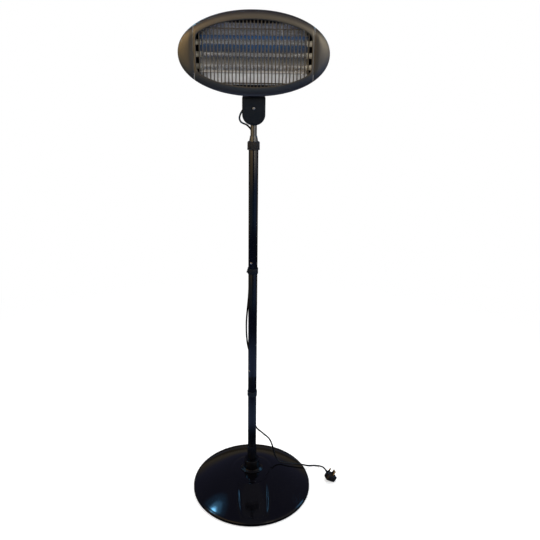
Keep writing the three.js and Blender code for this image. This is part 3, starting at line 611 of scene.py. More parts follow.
CORD_ROUTE = [
    (-26, 55.8, 1576), (-26, 58.6, 1576), (-30.1, 68.7, 1573), (-33, 77.2, 1566.3), (-39.3, 83.4, 1554.2),
    (-47.1, 81.7, 1540.4), (-50.2, 72.5, 1527.6), (-43.7, 57.6, 1516), (-21.5, 38.6, 1507),
    (-7.1, 29.8, 1490.7), (-4, 27, 1468), (-4, 27, 1380), (-7, 24, 1120),
    clip_point(UPPER_CLIP_ANGLE, 1024.5), clip_point(UPPER_CLIP_ANGLE, 983.5),
    clip_point(UPPER_CLIP_ANGLE, 958.5),
    (-15.2, 18.9, 880), (-24.3, 19.2, 752), (-19.3, 20.3, 665), (-3, 22, 600), (10, 21.4, 550),
    clip_point(LOWER_CLIP_ANGLE, 485), clip_point(LOWER_CLIP_ANGLE, 456), clip_point(LOWER_CLIP_ANGLE, 425),
    (3.5, 23.4, 350), (17, 24, 274), (44, 27, 242), (72, 33.5, 209), (87, 40, 170), (100, 45, 114),
    (122, 43.5, 80.7), (164, 51, 65.3), (216, 76, 38.3), (246, 96, 15.8), (262, 107, 5.6), (277, 111, 3.6),
    (293, 107.5, 4.8), (308, 98, 9.6), (320.5, 79, 17), (330.5, 48.8, 20.9),
]
CORD_STEP = 5.0

cord_line = flowing(CORD_ROUTE, CORD_STEP)
cord_length = sum((b - a).length for a, b in zip(cord_line, cord_line[1:]))
cord = piece("mains_cord", tube(cord_line, CORD_RADIUS), SHEATH, None,
             ("cord_loop", "cord_top", "cord_middle", "cord_floor"), 60)
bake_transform(cord)

PLUG_PLACE = (324, 46, 10.1)     # where the cord enters its face, the plug drawn along +X with pins up
PLUG_TURN = -72
PLUG_ROLL = -33
PLUG_LENGTH = 53
PLUG_HALF_WIDTH = 24
PLUG_THICKNESS = 26
PLUG_CORNER = 9
PLUG_AXIS_Z = 13
PIN_PITCH = 22.2
EARTH_X = 43
LINE_X = EARTH_X - PIN_PITCH


def edges_at(bm, z):
    return [e for e in bm.edges if all(abs(v.co.z - z) < 0.01 for v in e.verts)]


def rounded_rim(bm, z, width, steps):
    return rounded(bm, edges_at(bm, z), width, steps)


def plug_shape():
    """Moulded shell: a well rounded back, a flat face with a fuse drawer, sleeves round the line pins."""
    shoulder = [(11, 8.5), (13, 12.2), (16, 16), (20, 19.6), (25, 22.4), (32, 23.8)]
    far = arc(PLUG_LENGTH - PLUG_CORNER, PLUG_HALF_WIDTH - PLUG_CORNER, PLUG_CORNER, 90, 0, 8)
    half = [*shoulder, *far]
    shell = slab([*half, *[(x, -y) for x, y in reversed(half)]], 0, PLUG_THICKNESS, "Z")
    rounded_rim(rounded_rim(shell, 0, 7.5, 7), PLUG_THICKNESS, 1.8, 4)
    face = max(shell.faces, key=lambda f: (round(f.calc_center_median().z, 2), f.calc_area()))
    bmesh.ops.inset_region(shell, faces=[face], thickness=1.4, depth=0)
    bmesh.ops.inset_region(shell, faces=[face], thickness=0.4, depth=-0.5)
    parts = [shell, soften(block(27.5, 34.5, -13, 13, 24, PLUG_THICKNESS + 0.1), 0.5, 2)]
    for side in (-1, 1):
        y = side * PIN_PITCH / 2
        collar = block(LINE_X - 2.15, LINE_X + 2.15, y - 3.35, y + 3.35, 24, PLUG_THICKNESS + 9.5)
        parts.append(soften(collar, 0.4, 2))
    return together(*parts)


def cord_boot():
    """Ribbed sleeve where the cord enters the plug."""
    points, ribs, pitch = [(0, -9)], 7, 2.7
    for i in range(ribs):
        r, x = 3.9 + 0.24 * i, -9 + pitch * i
        points += [(r - 0.1, x), (r, x + 1.7), (r - 0.7, x + 1.8), (r - 0.7, x + pitch)]
    points += [(6.2, -9 + pitch * ribs), (8, 14), (0, 14)]
    return move(turn(turned(points, 32), 90, "Y"), (0, 0, PLUG_AXIS_Z))


def placed_plug(bm):
    return move(turn(turn(bm, PLUG_ROLL, "X"), PLUG_TURN, "Z"), PLUG_PLACE)


plug_with_boot = placed_plug(together(plug_shape(), cord_boot()))
plug = piece("plug_shell", plug_with_boot, PLUG_PLASTIC, "root", ("plug_body",), 32)
PIN_FOOT = 25.5
PLUG_PINS = (                    # label, place across the plug, half widths, reach past the plug's face
    ("earth", EARTH_X, 0, 4, 2, 22.7),
    ("live", LINE_X, -PIN_PITCH / 2, 2, 3.2, 17.7),
    ("neutral", LINE_X, PIN_PITCH / 2, 2, 3.2, 17.7),
)
for label, x, y, half_x, half_y, reach in PLUG_PINS:
    bar = block(x - half_x, x + half_x, y - half_y, y + half_y, PIN_FOOT, PLUG_THICKNESS + reach)
    pin = placed_plug(soften(bar, 0.8, 3))
    piece(f"brass_pin_{label}", pin, BRASS, "root", (f"plug_pin_{label}",))

GLAND_X, GLAND_Z, GLAND_FOOT, GLAND_LENGTH = -26, 1576, 29.5, 26


def gland():
    """Bush through the rear shell with a tapered, ribbed strain relief."""
    points, ribs, pitch = [(0, -8), (5, -8), (5, 2.7), (8, 2.7), (8, 4.6), (7.3, 5.6)], 7, 2.8
    for i in range(ribs):
        r, z = 6.7 - 0.33 * i, 6 + pitch * i
        points += [(r - 0.9, z), (r - 0.9, z + 1), (r, z + 1.15), (r - 0.1, z + pitch - 0.05)]
    points += [(4.4, GLAND_LENGTH), (0, GLAND_LENGTH)]
    return move(turn(turned(points, 40), -90, "X"), (GLAND_X, GLAND_FOOT, GLAND_Z))


piece("cord_gland_ribbed", gland(), PLASTIC, "neck", ("cord_gland",))
[tuple(p * MM) for p in cord_line]


# ---------- base ----------

BASE_RADIUS = 247.5
PLATEAU_Z = 84
PLATEAU_RADIUS = 81
RIM_TOP = 21
RIM_RADIUS = 240
DOME_POWER = 1.5
COVER_WALL = 3
CHANNEL_TURN = 2.9               # degrees from straight ahead, towards +X
CHANNEL_HALF_WIDTH = 54          # at its inner end, less at its outer end
CHANNEL_TAPER = 8
CHANNEL_WALL = 13                # width of the sloping wall where the channel is deepest
CHANNEL_INNER, CHANNEL_OUTER = 96, 231
CHANNEL_DEPTH = 9.5


def eased(low, high, value):
    t = min(1, max(0, (value - low) / (high - low)))
    return t * t * (3 - 2 * t)


def dome_height(r):
    t = max(0, (r - PLATEAU_RADIUS) / (RIM_RADIUS - PLATEAU_RADIUS))
    shoulder = 2.2 * eased(PLATEAU_RADIUS - 2, PLATEAU_RADIUS + 3, r) * (1 - t)
    return PLATEAU_Z - shoulder - (PLATEAU_Z - RIM_TOP) * t ** DOME_POWER


def channel_dip(x, y):
    """How far the front channel is pressed below the dome: deepest half way along, with sloping walls."""
    t = math.radians(CHANNEL_TURN)
    across, along = x * math.cos(t) + y * math.sin(t), -(y * math.cos(t) - x * math.sin(t))
    if along <= 0:
        return 0
    r = math.hypot(across, along)
    share = (r - CHANNEL_INNER) / (CHANNEL_OUTER - CHANNEL_INNER)
    if not 0 < share < 1:
        return 0
    depth = CHANNEL_DEPTH * math.sin(math.pi * share) ** 0.8
    half = CHANNEL_HALF_WIDTH - CHANNEL_TAPER * share
    wall = CHANNEL_WALL * math.sin(math.pi * share) ** 0.6 + 2
    return depth * (1 - eased(half, half + wall, abs(across)))


def cover():
    dome = [r for r in range(78, 241, 3)]
    outside = [(6, PLATEAU_Z), (40, PLATEAU_Z), *[(r, dome_height(r)) for r in dome],
               (242.5, 20.2), (244.8, 19.0), (246.5, 17.2), (247.3, 15.0), (BASE_RADIUS, 12.5),
               (BASE_RADIUS, 5), (247.1, 4.2), (246.2, 4)]
    inside = [(244.6, 4), (244.5, 5), (244.5, 14), (242.5, 16.4)]
    under = [(r - 1.2, dome_height(r) - COVER_WALL) for r in reversed(dome[:-1])]
    bm = turned([*outside, *inside, *under, (6, PLATEAU_Z - COVER_WALL)], 288)
    for vert in bm.verts:
        if vert.co.z > 13:
            vert.co.z -= channel_dip(vert.co.x, vert.co.y)
    return bm


piece("base_dome", cover(), GLOSS_PLASTIC, "root", ("base_cover",), 40)

HUB_FOOT_SIDE, HUB_FOOT_FRONT = 47, 36
HUB_SEAT, HUB_TOP, HUB_RADIUS = 94.6, 135.5, 32
SLEEVE_BORE, SLEEVE_RADIUS, SLEEVE_TOP = 17.35, 19, 202


def hub_foot():
    """Oval foot that rises to the collar, with a hole for the bolt."""
    profile = [(0, 84.3), (46.4, 84.3), (HUB_FOOT_SIDE, 84.8), (HUB_FOOT_SIDE, 86.2), (46, 87.2),
               (42.4, 89.2), (38.8, 92), (37, 94.2), (36, HUB_SEAT), (0, HUB_SEAT)]
    bm = turned(profile, 128)
    for vert in bm.verts:
        vert.co.y *= HUB_FOOT_FRONT / HUB_FOOT_SIDE
    return carved(bm, wire((0, 0, 80), (0, 0, 100), 6, 40))


piece("hub_foot", hub_foot(), HUB_GLOSS, "root", ("hub_flange",), 30)
collar_profile = [(SLEEVE_BORE, HUB_SEAT + 0.3), (HUB_RADIUS, HUB_SEAT + 0.3), (HUB_RADIUS, HUB_TOP - 2.4),
                  (HUB_RADIUS - 0.8, HUB_TOP - 0.7), (HUB_RADIUS - 2.4, HUB_TOP), (SLEEVE_BORE, HUB_TOP)]
piece("hub_socket", soften(turned(collar_profile, 96), 0.6, 3, 20), HUB_GLOSS, "root", ("hub_collar",))
sleeve = soften(pipe(SLEEVE_BORE, SLEEVE_RADIUS, HUB_TOP + 0.3, SLEEVE_TOP), 0.8, 3)
piece("pole_ferrule", sleeve, HUB_GLOSS, "root", ("pole_sleeve",))


# ---------- pole ----------

POLE_RADIUS = 17
POLE_BORE = 15.5
for name, low, high in (("pole_lower", 95, 535.7), ("pole_middle", 536, 991.7), ("pole_upper", 992, 1440)):
    shell = pipe(POLE_BORE, POLE_RADIUS, low, high)
    piece(f"{name}_painted", soften(shell, 0.35, 2), GLOSS_PAINT, "root", (name,))


def pan_head(radius, height):
    """Pan head with a cross recess, its seat at z 0."""
    profile = [(0, 0), (radius, 0), (radius, height * 0.35), (radius * 0.86, height * 0.72),
               (radius * 0.5, height * 0.95), (0, height)]
    long, narrow, low, high = radius * 0.62, radius * 0.13, height * 0.45, height + 2
    recess = [block(-long, long, -narrow, narrow, low, high), block(-narrow, narrow, -long, long, low, high)]
    return carved(turned(profile, 36), *recess)


SCREW_HEAD_RADIUS, SCREW_HEAD_HEIGHT, SCREW_SHANK_RADIUS = 4.2, 2.6, 2.2
POLE_SCREWS = (("lower", 562, -43), ("upper", 1017, -22))    # label, height, angle round the pole
for side, z, angle in POLE_SCREWS:
    head = turn(pan_head(SCREW_HEAD_RADIUS, SCREW_HEAD_HEIGHT), 90, "X")
    head = move(head, (0, 0.1 - POLE_RADIUS, z))
    shank = wire((0, 7 - POLE_RADIUS, z), (0, -0.5 - POLE_RADIUS, z), SCREW_SHANK_RADIUS, 16)
    screw = turn(together(head, shank), angle, "Z")
    piece(f"pole_screw_{side}", screw, ZINC, "root", (f"joint_screw_{side}",))


COLLAR_BORE, COLLAR_RADIUS = 17.3, 19.4
TAB_OUTLINE = [(-18.4, 976), (-23, 976), (-23.8, 977.6), (-19.3, 992), (-18.4, 992)]


def clip_collar(low, angle):
    """Split ring round the pole with an open clip for the cord."""
    high = low + COLLAR_HEIGHT
    ring = soften(pipe(COLLAR_BORE, COLLAR_RADIUS, low, high), 0.5, 3)
    outer, inner, mouth = CORD_RADIUS + 2.4, CORD_RADIUS + 0.7, 32
    hook = [*arc(CLIP_REACH, 0, outer, mouth, 360 - mouth, 24),
            *arc(CLIP_REACH, 0, inner, 360 - mouth, mouth, 24)]
    clip = soften(slab(hook, low + 5, high - 5, "Z"), 0.45, 2, 50)
    return turn(together(ring, clip), angle, "Z")


lower_clip = clip_collar(LOWER_COLLAR_Z, LOWER_CLIP_ANGLE)
upper_clip = clip_collar(UPPER_COLLAR_Z, UPPER_CLIP_ANGLE)
release_tab = soften(slab(TAB_OUTLINE, -4, 4), 0.5, 2, 30)
piece("cord_clip_lower", lower_clip, PLASTIC, "root", ("clip_collar_lower",))
piece("cord_clip_upper", together(upper_clip, release_tab), PLASTIC, "root", ("clip_collar_upper",))

cone_profile = [(11.3, 1398), (15.2, 1398), (15.2, 1440.3), (17, 1440.3), (17, 1458.3), (15.3, 1458.3),
                (14.9, 1463), (12.4, 1476.4), (12.0, 1477), (11.3, 1477)]
piece("clamp_cone", turned(cone_profile, 72), SATIN_STEEL, "root", ("collet",), 20)

NUT_BOTTOM, NUT_TOP, NUT_BORE, NUT_RADIUS, NUT_RIBS = 1430, 1458, 17.6, 21.5, 24
NUT_RIB_DEPTH = 1.3
NUT_RIBS_FROM = 19.5             # inside this radius the nut stays round


def lock_nut():
    """Ribbed nut: a turned shape whose outside waves between its chamfered ends."""
    profile = [(NUT_BORE, NUT_BOTTOM), (21.4, NUT_BOTTOM), (22, NUT_BOTTOM + 0.6), (22, NUT_BOTTOM + 2),
               (NUT_RADIUS, NUT_BOTTOM + 2.8), (NUT_RADIUS, NUT_TOP - 4), (20.8, NUT_TOP - 1.6),
               (19.2, NUT_TOP), (NUT_BORE, NUT_TOP)]
    bm = turned(profile, NUT_RIBS * 10)
    return drawn_in(bm, NUT_RIBS_FROM, 1.2, above=NUT_BOTTOM + 2.4,
                    depth=lambda t: NUT_RIB_DEPTH * (0.5 + 0.5 * math.cos(NUT_RIBS * t)) ** 2)


piece("lock_nut_ribbed", lock_nut(), SATIN_PLASTIC, "lock_nut", ("height_lock_nut",), 30)

NECK_BORE, NECK_RADIUS, NECK_BOTTOM, NECK_TOP = 9.5, 11, 1120, 1590
neck = soften(pipe(NECK_BORE, NECK_RADIUS, NECK_BOTTOM, NECK_TOP), 0.3, 2)
piece("neck_tube_drawn", neck, SATIN_STEEL, "neck", ("neck_tube",))


# ---------- junction box ----------

BOX_BOTTOM, BOX_TOP, BOX_HALF_WIDTH, BOX_CORNER = 1514, 1606, 39, 36
BOX_FRONT, BOX_BACK, BOX_WALL = -28, 32, 2.5
BOX_SCREW_Z = 1569


def box_outline(inset=0, steps=14):
    """Square at the top, round at the bottom."""
    half, corner = BOX_HALF_WIDTH - inset, BOX_CORNER - inset
    bottom, top = BOX_BOTTOM + inset, BOX_TOP - inset
    return [*arc(half - corner, bottom + corner, corner, -90, 0, steps),
            *arc(half - 3, top - 3, 3, 0, 90, 4), *arc(3 - half, top - 3, 3, 90, 180, 4),
            *arc(corner - half, bottom + corner, corner, 180, 270, steps)]


def hollowed(bm, low, high):
    """A shell of the box less its inside and the hole for the neck."""
    hole = wire((0, 0, BOX_BOTTOM - 5), (0, 0, BOX_BOTTOM + 20), NECK_RADIUS + 0.3, 48)
    return carved(bm, slab(box_outline(BOX_WALL), low, high), hole)


def box_front():
    """Front shell with a rounded edge and a flat panel inside a fine groove."""
    bm = slab(box_outline(), BOX_FRONT, 0)
    faces = sorted(bm.faces, key=lambda f: f.calc_center_median().y)
    rounded(bm, list(faces[0].edges), 4.5, 5)
    front = min(bm.faces, key=lambda f: (round(f.calc_center_median().y, 3), -f.calc_area()))
    for thickness, depth in ((1.6, 0), (0.35, -0.7), (0.5, 0), (0.35, 0.55)):
        bmesh.ops.inset_region(bm, faces=[front], thickness=thickness, depth=depth)
    return hollowed(bm, BOX_FRONT + 5, 5)


KNUCKLE_HALF_WIDTH, KNUCKLE_RADIUS, PIVOT_Y, PIVOT_Z, PIVOT_BORE = 18, 11, 14, 1620, 4.3


def pivot_bore(z):
    return wire((-60, PIVOT_Y, z), (60, PIVOT_Y, z), PIVOT_BORE, 32)


def box_rear():
    """Rear shell with its knuckle for the pivot."""
    bm = slab(box_outline(), 0.3, BOX_BACK)
    back = max(bm.faces, key=lambda f: f.calc_center_median().y)
    rounded(bm, list(back.edges), 3.5, 4)
    knuckle_outline = [(PIVOT_Y + KNUCKLE_RADIUS, BOX_TOP - 1),
                       *arc(PIVOT_Y, PIVOT_Z, KNUCKLE_RADIUS, 0, 180, 20),
                       (PIVOT_Y - KNUCKLE_RADIUS, BOX_TOP - 1)]
    knuckle = soften(slab(knuckle_outline, -KNUCKLE_HALF_WIDTH, KNUCKLE_HALF_WIDTH, "X"), 0.8, 3, 50)
    return together(hollowed(bm, -5, BOX_BACK - 3.5), carved(knuckle, pivot_bore(PIVOT_Z)))


piece("junction_box_front", box_front(), PLASTIC, "neck", ("box_front",), 28)
piece("junction_box_rear", box_rear(), PLASTIC, "neck", ("box_rear",), 28)
cover_screw = move(turn(pan_head(4.6, 2.4), 90, "X"), (0, BOX_FRONT + 0.25, BOX_SCREW_Z))
cover_shank = wire((0, -6.5, BOX_SCREW_Z), (0, BOX_FRONT, BOX_SCREW_Z), 2.2, 16)
piece("cover_screw", together(cover_screw, cover_shank), ZINC, "neck", ("box_screw",))

SELECTOR_X, SELECTOR_Z = 14, 1562


def selector_knob():
    skirt = soften(turned([(0, 0.3), (13, 0.3), (12.2, 4), (0, 4)], 56), 0.5, 3)
    grip_outline = [*arc(0, 9.4, 2.6, 20, 160, 8), *arc(0, -9.4, 2.6, 200, 340, 8)]
    grip = soften(slab(grip_outline, 3.4, 14, "Z"), 0.9, 3, 60)
    mark = block(-0.5, 0.5, 4, 11, 13.9, 14.05)
    shaft = wire((0, 0, -16), (0, 0, 2), 2.9, 20)
    return move(turn(together(skirt, grip, mark, shaft), -90, "X"), (SELECTOR_X, BOX_BACK, SELECTOR_Z))


piece("heat_selector", selector_knob(), SATIN_PLASTIC, "selector", ("selector_knob",))


KNOB_LOBES, LOBE_DEPTH, LOBES_FROM = 6, 2.2, 8.5


def tilt_knob():
    """Six-lobed hand knob on the pivot bolt."""
    profile = [(PIVOT_BORE, 0), (8, 0), (8, 3), (9.6, 3.6), (10.8, 5.2), (10.8, 16.4), (9.8, 18.4),
               (7, 18.8), (6.4, 18), (PIVOT_BORE, 18)]
    bm = drawn_in(turned(profile, 72), LOBES_FROM, 1.5,
                  lambda t: LOBE_DEPTH * (0.5 - 0.5 * math.cos(KNOB_LOBES * t)))
    return move(turn(bm, 90, "Y"), (22.2, PIVOT_Y, PIVOT_Z))


piece("tilt_hand_knob", tilt_knob(), SATIN_PLASTIC, "tilt_clamp", ("tilt_knob",), 30)


# ---------- head ----------

HEAD_Z = 1739
HEAD_HALF_WIDTH, HEAD_HALF_HEIGHT, HEAD_POWER = 243, 130, 2.06
FASCIA_FRONT = -62
CREASE_X = 191.5
WINDOW_HALF_WIDTH, WINDOW_OVAL_X, WINDOW_OVAL_Z = 184.5, 220, 100.3
RING_STEPS = 220                 # puts a step on the window's corners
SHOULDER_DEPTH, SHOULDER_WIDTH = 3.0, 6.5


def oval(angle, half_x, half_z, power=2.0):
    c, s = abs(math.cos(angle)) / half_x, abs(math.sin(angle)) / half_z
    return (c ** power + s ** power) ** (-1 / power)


def window_reach(angle):
    """The window's oval, cut off at its half width with a small round in the corners."""
    side = WINDOW_HALF_WIDTH / max(1e-6, abs(math.cos(angle)))
    return (oval(angle, WINDOW_OVAL_X, WINDOW_OVAL_Z) ** -34 + side ** -34) ** (-1 / 34)


def head_reach(angle):
    return oval(angle, HEAD_HALF_WIDTH, HEAD_HALF_HEIGHT, HEAD_POWER)


def ring_sheet(profile, inner, outer, steps=RING_STEPS):
    """A closed band round the head.

    Each profile point is a share of the way from inner to outer, and a Y.
    """
    bm = bmesh.new()
    bmesh.ops.create_circle(bm, segments=steps, radius=100)
    turn(bm, 90, "X")
    first = edges = bm.edges[:]
    verts = bm.verts[:]
    for number, (share, y) in enumerate(profile):
        if number:
            grown = bmesh.ops.extrude_edge_only(bm, edges=edges)["geom"]
            edges = [g for g in grown if isinstance(g, bmesh.types.BMEdge) and g.is_boundary]
            verts = list({v for e in edges for v in e.verts})
        for vert in verts:
            angle = math.atan2(vert.co.z, vert.co.x)
            reach = inner(angle) + share * (outer(angle) - inner(angle))
            vert.co = (reach * math.cos(angle), y, reach * math.sin(angle))
    bmesh.ops.bridge_loops(bm, edges=[e for e in bm.edges if e.is_boundary])
    return bm


def front_sheet():
    """The pressed front from the window's lip to the rolled rim, before it is cut in three."""
    outside = [(0, 7), (0, 2), (0.006, 0.9), (0.02, 0.25), (0.045, 0), (0.12, 0.1), (0.22, 0.35),
               (0.34, 0.85), (0.46, 1.55), (0.58, 2.5), (0.69, 3.65), (0.79, 4.9), (0.86, 6), (0.91, 7.0),
               (0.945, 7.6), (0.965, 8.3), (0.985, 9.6), (0.996, 11.2), (1, 13), (1, 16)]
    inside = [(0.982, 16), (0.978, 13), (0.95, 10.4), (0.86, 8), (0.69, 5.6), (0.46, 3.5), (0.22, 2.35),
              (0.05, 2), (0.035, 7)]
    profile = [(share, FASCIA_FRONT + y) for share, y in outside + inside]
    return ring_sheet(profile, window_reach, head_reach)


def sliced(bm, spot, way, **removed):
    """A shape with its faces cut by a plane. Where a side is removed, the cut is closed."""
    everything = bm.verts[:] + bm.edges[:] + bm.faces[:]
    bmesh.ops.bisect_plane(bm, geom=everything, dist=1e-4, plane_co=spot, plane_no=way, **removed)
    if removed:
        bmesh.ops.holes_fill(bm, edges=[e for e in bm.edges if e.is_boundary], sides=0)
    return bm


def cut_at(bm, x, keep):
    """Cuts a shape by an upright plane. keep is +1 or -1 for the side that stays."""
    return sliced(bm, (x, 0, 0), (keep, 0, 0), clear_inner=True)


def loops_at(bm, places):
    for x in places:
        sliced(bm, (x, 0, 0), (1, 0, 0))
    return bm


def fascia():
    """The middle of the front, with a rounded shoulder down to each crease."""
    bm = front_sheet()
    steps = [CREASE_X - SHOULDER_WIDTH * share for share in (1, 0.8, 0.6, 0.42, 0.26, 0.12, 0.04)]
    loops_at(bm, [side * x for side in (-1, 1) for x in steps])
    cut_at(cut_at(bm, -CREASE_X, 1), CREASE_X, -1)
    for vert in bm.verts:
        near = 1 - (CREASE_X - abs(vert.co.x)) / SHOULDER_WIDTH
        if near > 0 and vert.co.y < FASCIA_FRONT + 13:
            vert.co.y += SHOULDER_DEPTH * (1 - math.sqrt(max(0, 1 - near * near)))
    return move(bm, (0, 0, HEAD_Z))


def wing(side):
    """One end of the front: it starts a step lower than the fascia and swells towards its middle."""
    bm = front_sheet()
    loops_at(bm, [side * (CREASE_X + x) for x in (1.2, 3, 6, 10, 16, 24, 34)])
    cut_at(bm, side * (CREASE_X + 0.5), side)
    for vert in bm.verts:
        out = abs(vert.co.x) - CREASE_X
        if vert.co.y < FASCIA_FRONT + 11.5:
            vert.co.y += 2.2 * (1 - 0.85 * eased(0, 16, out)) + 0.6 * (1 - eased(0, 2, out))
    return move(bm, (0, 0, HEAD_Z))


piece("fascia_pressed", fascia(), BRONZE, "head", ("fascia",), 38)
piece("wing_left_pressed", wing(-1), BRONZE, "head", ("wing_left",), 38)
piece("wing_right_pressed", wing(1), BRONZE, "head", ("wing_right",), 38)

GUARD_BARS, GUARD_PITCH, GUARD_WIRE_RADIUS, GUARD_Y = 31, 11.6, 1.9, -52
GUARD_CROSS_Z = (74, -89)


def guard():
    """Upright wires welded to two cross wires and to a flat frame behind the window's lip."""
    frame_bar = ring_sheet([(0, GUARD_Y + 0.8), (1, GUARD_Y + 0.8), (1, GUARD_Y + 3.8), (0, GUARD_Y + 3.8)],
                           lambda t: window_reach(t) + 0.6, lambda t: window_reach(t) + 3.6, 110)
    wires = [frame_bar]
    for i in range(GUARD_BARS):
        x = (i - (GUARD_BARS - 1) / 2) * GUARD_PITCH
        half = WINDOW_OVAL_Z * math.sqrt(1 - (x / WINDOW_OVAL_X) ** 2) + 2.5
        wires.append(wire((x, GUARD_Y, -half), (x, GUARD_Y, half), GUARD_WIRE_RADIUS, 12))
    for z in GUARD_CROSS_Z:
        reach = WINDOW_OVAL_X * math.sqrt(1 - ((abs(z) + 1) / WINDOW_OVAL_Z) ** 2) + 4
        wires.append(wire((-reach, GUARD_Y + 2.4, z), (reach, GUARD_Y + 2.4, z), GUARD_WIRE_RADIUS, 12))
    return move(together(*wires), (0, 0, HEAD_Z))


piece("guard_wires", guard(), BRONZE, "head", ("guard_grille",), 50)

HOUSING_HALF_WIDTH, HOUSING_HALF_HEIGHT, HOUSING_BACK = 230, 109.5, 20


def housing():
    """The bowl behind the front, with three rows of louvred slots."""
    outside = [(0, 20), (0.3, 20), (0.56, 20), (0.62, 19.9), (0.67, 19.6), (0.72, 18.9), (0.78, 17.4),
               (0.84, 14.8), (0.89, 11), (0.93, 6), (0.957, 0), (0.975, -8), (0.99, -18), (1, -34), (1, -50)]
    inside = [(0.985, -50), (0.985, -34), (0.975, -18), (0.96, -8), (0.942, 0), (0.915, 6), (0.875, 10),
              (0.825, 13.2), (0.77, 15.6), (0.71, 17.1), (0.66, 17.7), (0.56, 18), (0, 18)]
    bm = turned(outside + inside, 160)
    for vert in bm.verts:
        x, y, z = vert.co
        vert.co = (x * HOUSING_HALF_WIDTH, z, y * HOUSING_HALF_HEIGHT)
    slots = []
    for z in (16, 32, 48):
        for x in (-88, 0, 88):
            slot = [*arc(x + 31.5, z, 2.5, -90, 90, 8), *arc(x - 31.5, z, 2.5, 90, 270, 8)]
            slots.append(slab(slot, 10, 30))
    return move(carved(bm, *slots), (0, 0, HEAD_Z))


piece("rear_bowl", housing(), DARK_STEEL, "head", ("rear_housing",), 30)

REFLECTOR_HALF_LENGTH, REFLECTOR_WALL = 174, 1.2
REFLECTOR_BACK, REFLECTOR_FOLD, REFLECTOR_EDGE, REFLECTOR_LIP = -14, 57, 92, -48
TRIM_HALF_WIDTH, TRIM_HALF_HEIGHT = 0.95 * HOUSING_HALF_WIDTH, 0.95 * HOUSING_HALF_HEIGHT
TUBE_Z_OFFSET = -3


def reflector():
    """Folded trough in bright sheet, its ends trimmed to the bowl."""
    shift = TUBE_Z_OFFSET / 2
    half = [(REFLECTOR_LIP, REFLECTOR_EDGE), (-43, 86.9), (-38, 81.7),
            (REFLECTOR_BACK - 4, REFLECTOR_FOLD + 4.4), (REFLECTOR_BACK - 1.4, REFLECTOR_FOLD + 1.4),
            (REFLECTOR_BACK, REFLECTOR_FOLD - 2)]
    inner = [*half, *[(y, -z) for y, z in reversed(half)]]
    outer = []
    for y, z in reversed(inner):
        if abs(z) < REFLECTOR_FOLD:
            outer.append((y + REFLECTOR_WALL, z))
        else:
            outer.append((y, z + math.copysign(REFLECTOR_WALL * 0.8, z)))
    bm = slab([(y, z + shift) for y, z in inner + outer], -REFLECTOR_HALF_LENGTH, REFLECTOR_HALF_LENGTH, "X")
    for angle in (32, 46, 60):
        t = math.radians(angle)
        for side, up in ((-1, -1), (-1, 1), (1, -1), (1, 1)):
            spot = (side * TRIM_HALF_WIDTH * math.cos(t), 0, up * TRIM_HALF_HEIGHT * math.sin(t))
            away = (side * math.cos(t) / TRIM_HALF_WIDTH, 0, up * math.sin(t) / TRIM_HALF_HEIGHT)
            sliced(bm, spot, away, clear_outer=True)
    return move(bm, (0, 0, HEAD_Z))


piece("reflector_trough", reflector(), ALUMINIUM, "head", ("reflector",), 25)

TUBE_PITCH, TUBE_Y, TUBE_BORE, TUBE_RADIUS, TUBE_HALF_LENGTH = 36, -30, 5, 6, 170
CAP_RADIUS, CAP_END = 9, 190
COIL_RADIUS, COIL_WIRE, COIL_TURNS, COIL_STEPS = 3.1, 0.5, 116, 10
COIL_HALF_LENGTH = TUBE_HALF_LENGTH - 2
cap_profile = [(0, TUBE_HALF_LENGTH + 0.3), (7.4, TUBE_HALF_LENGTH + 0.3),
               (CAP_RADIUS, TUBE_HALF_LENGTH + 1.4), (CAP_RADIUS, 178), (8.2, 178.4), (8.2, 180.2),
               (CAP_RADIUS, 180.6), (CAP_RADIUS, CAP_END - 3), (6.6, CAP_END), (3, CAP_END),
               (2.6, CAP_END - 2.5), (0, CAP_END - 2.5)]
for number in (1, 2, 3):
    tube_z = HEAD_Z + (2 - number) * TUBE_PITCH + TUBE_Z_OFFSET
    glass = soften(pipe(TUBE_BORE, TUBE_RADIUS, -TUBE_HALF_LENGTH, TUBE_HALF_LENGTH, 48), 0.25, 2)
    piece(f"quartz_element_{number}", move(turn(glass, 90, "Y"), (0, TUBE_Y, tube_z)), QUARTZ, "head",
          (f"quartz_tube_{number}",))
    spiral = []
    for i in range(COIL_TURNS * COIL_STEPS + 1):
        t = i * 2 * math.pi / COIL_STEPS
        along = COIL_HALF_LENGTH * (2 * i / (COIL_TURNS * COIL_STEPS) - 1)
        spiral.append((along, TUBE_Y + COIL_RADIUS * math.cos(t), tube_z + COIL_RADIUS * math.sin(t)))
    piece(f"element_coil_{number}", tube(spiral, COIL_WIRE, 0), HEATING_WIRE, "head",
          (f"heating_coil_{number}",), 60)
    for side, label in ((-1, "left"), (1, "right")):
        cap = turn(soften(turned(cap_profile, 40), 0.3, 2, 40), side * 90, "Y")
        cap = move(cap, (0, TUBE_Y, tube_z))
        piece(f"element_cap_{label}_{number}", cap, CERAMIC, "head", (f"ceramic_cap_{label}_{number}",))


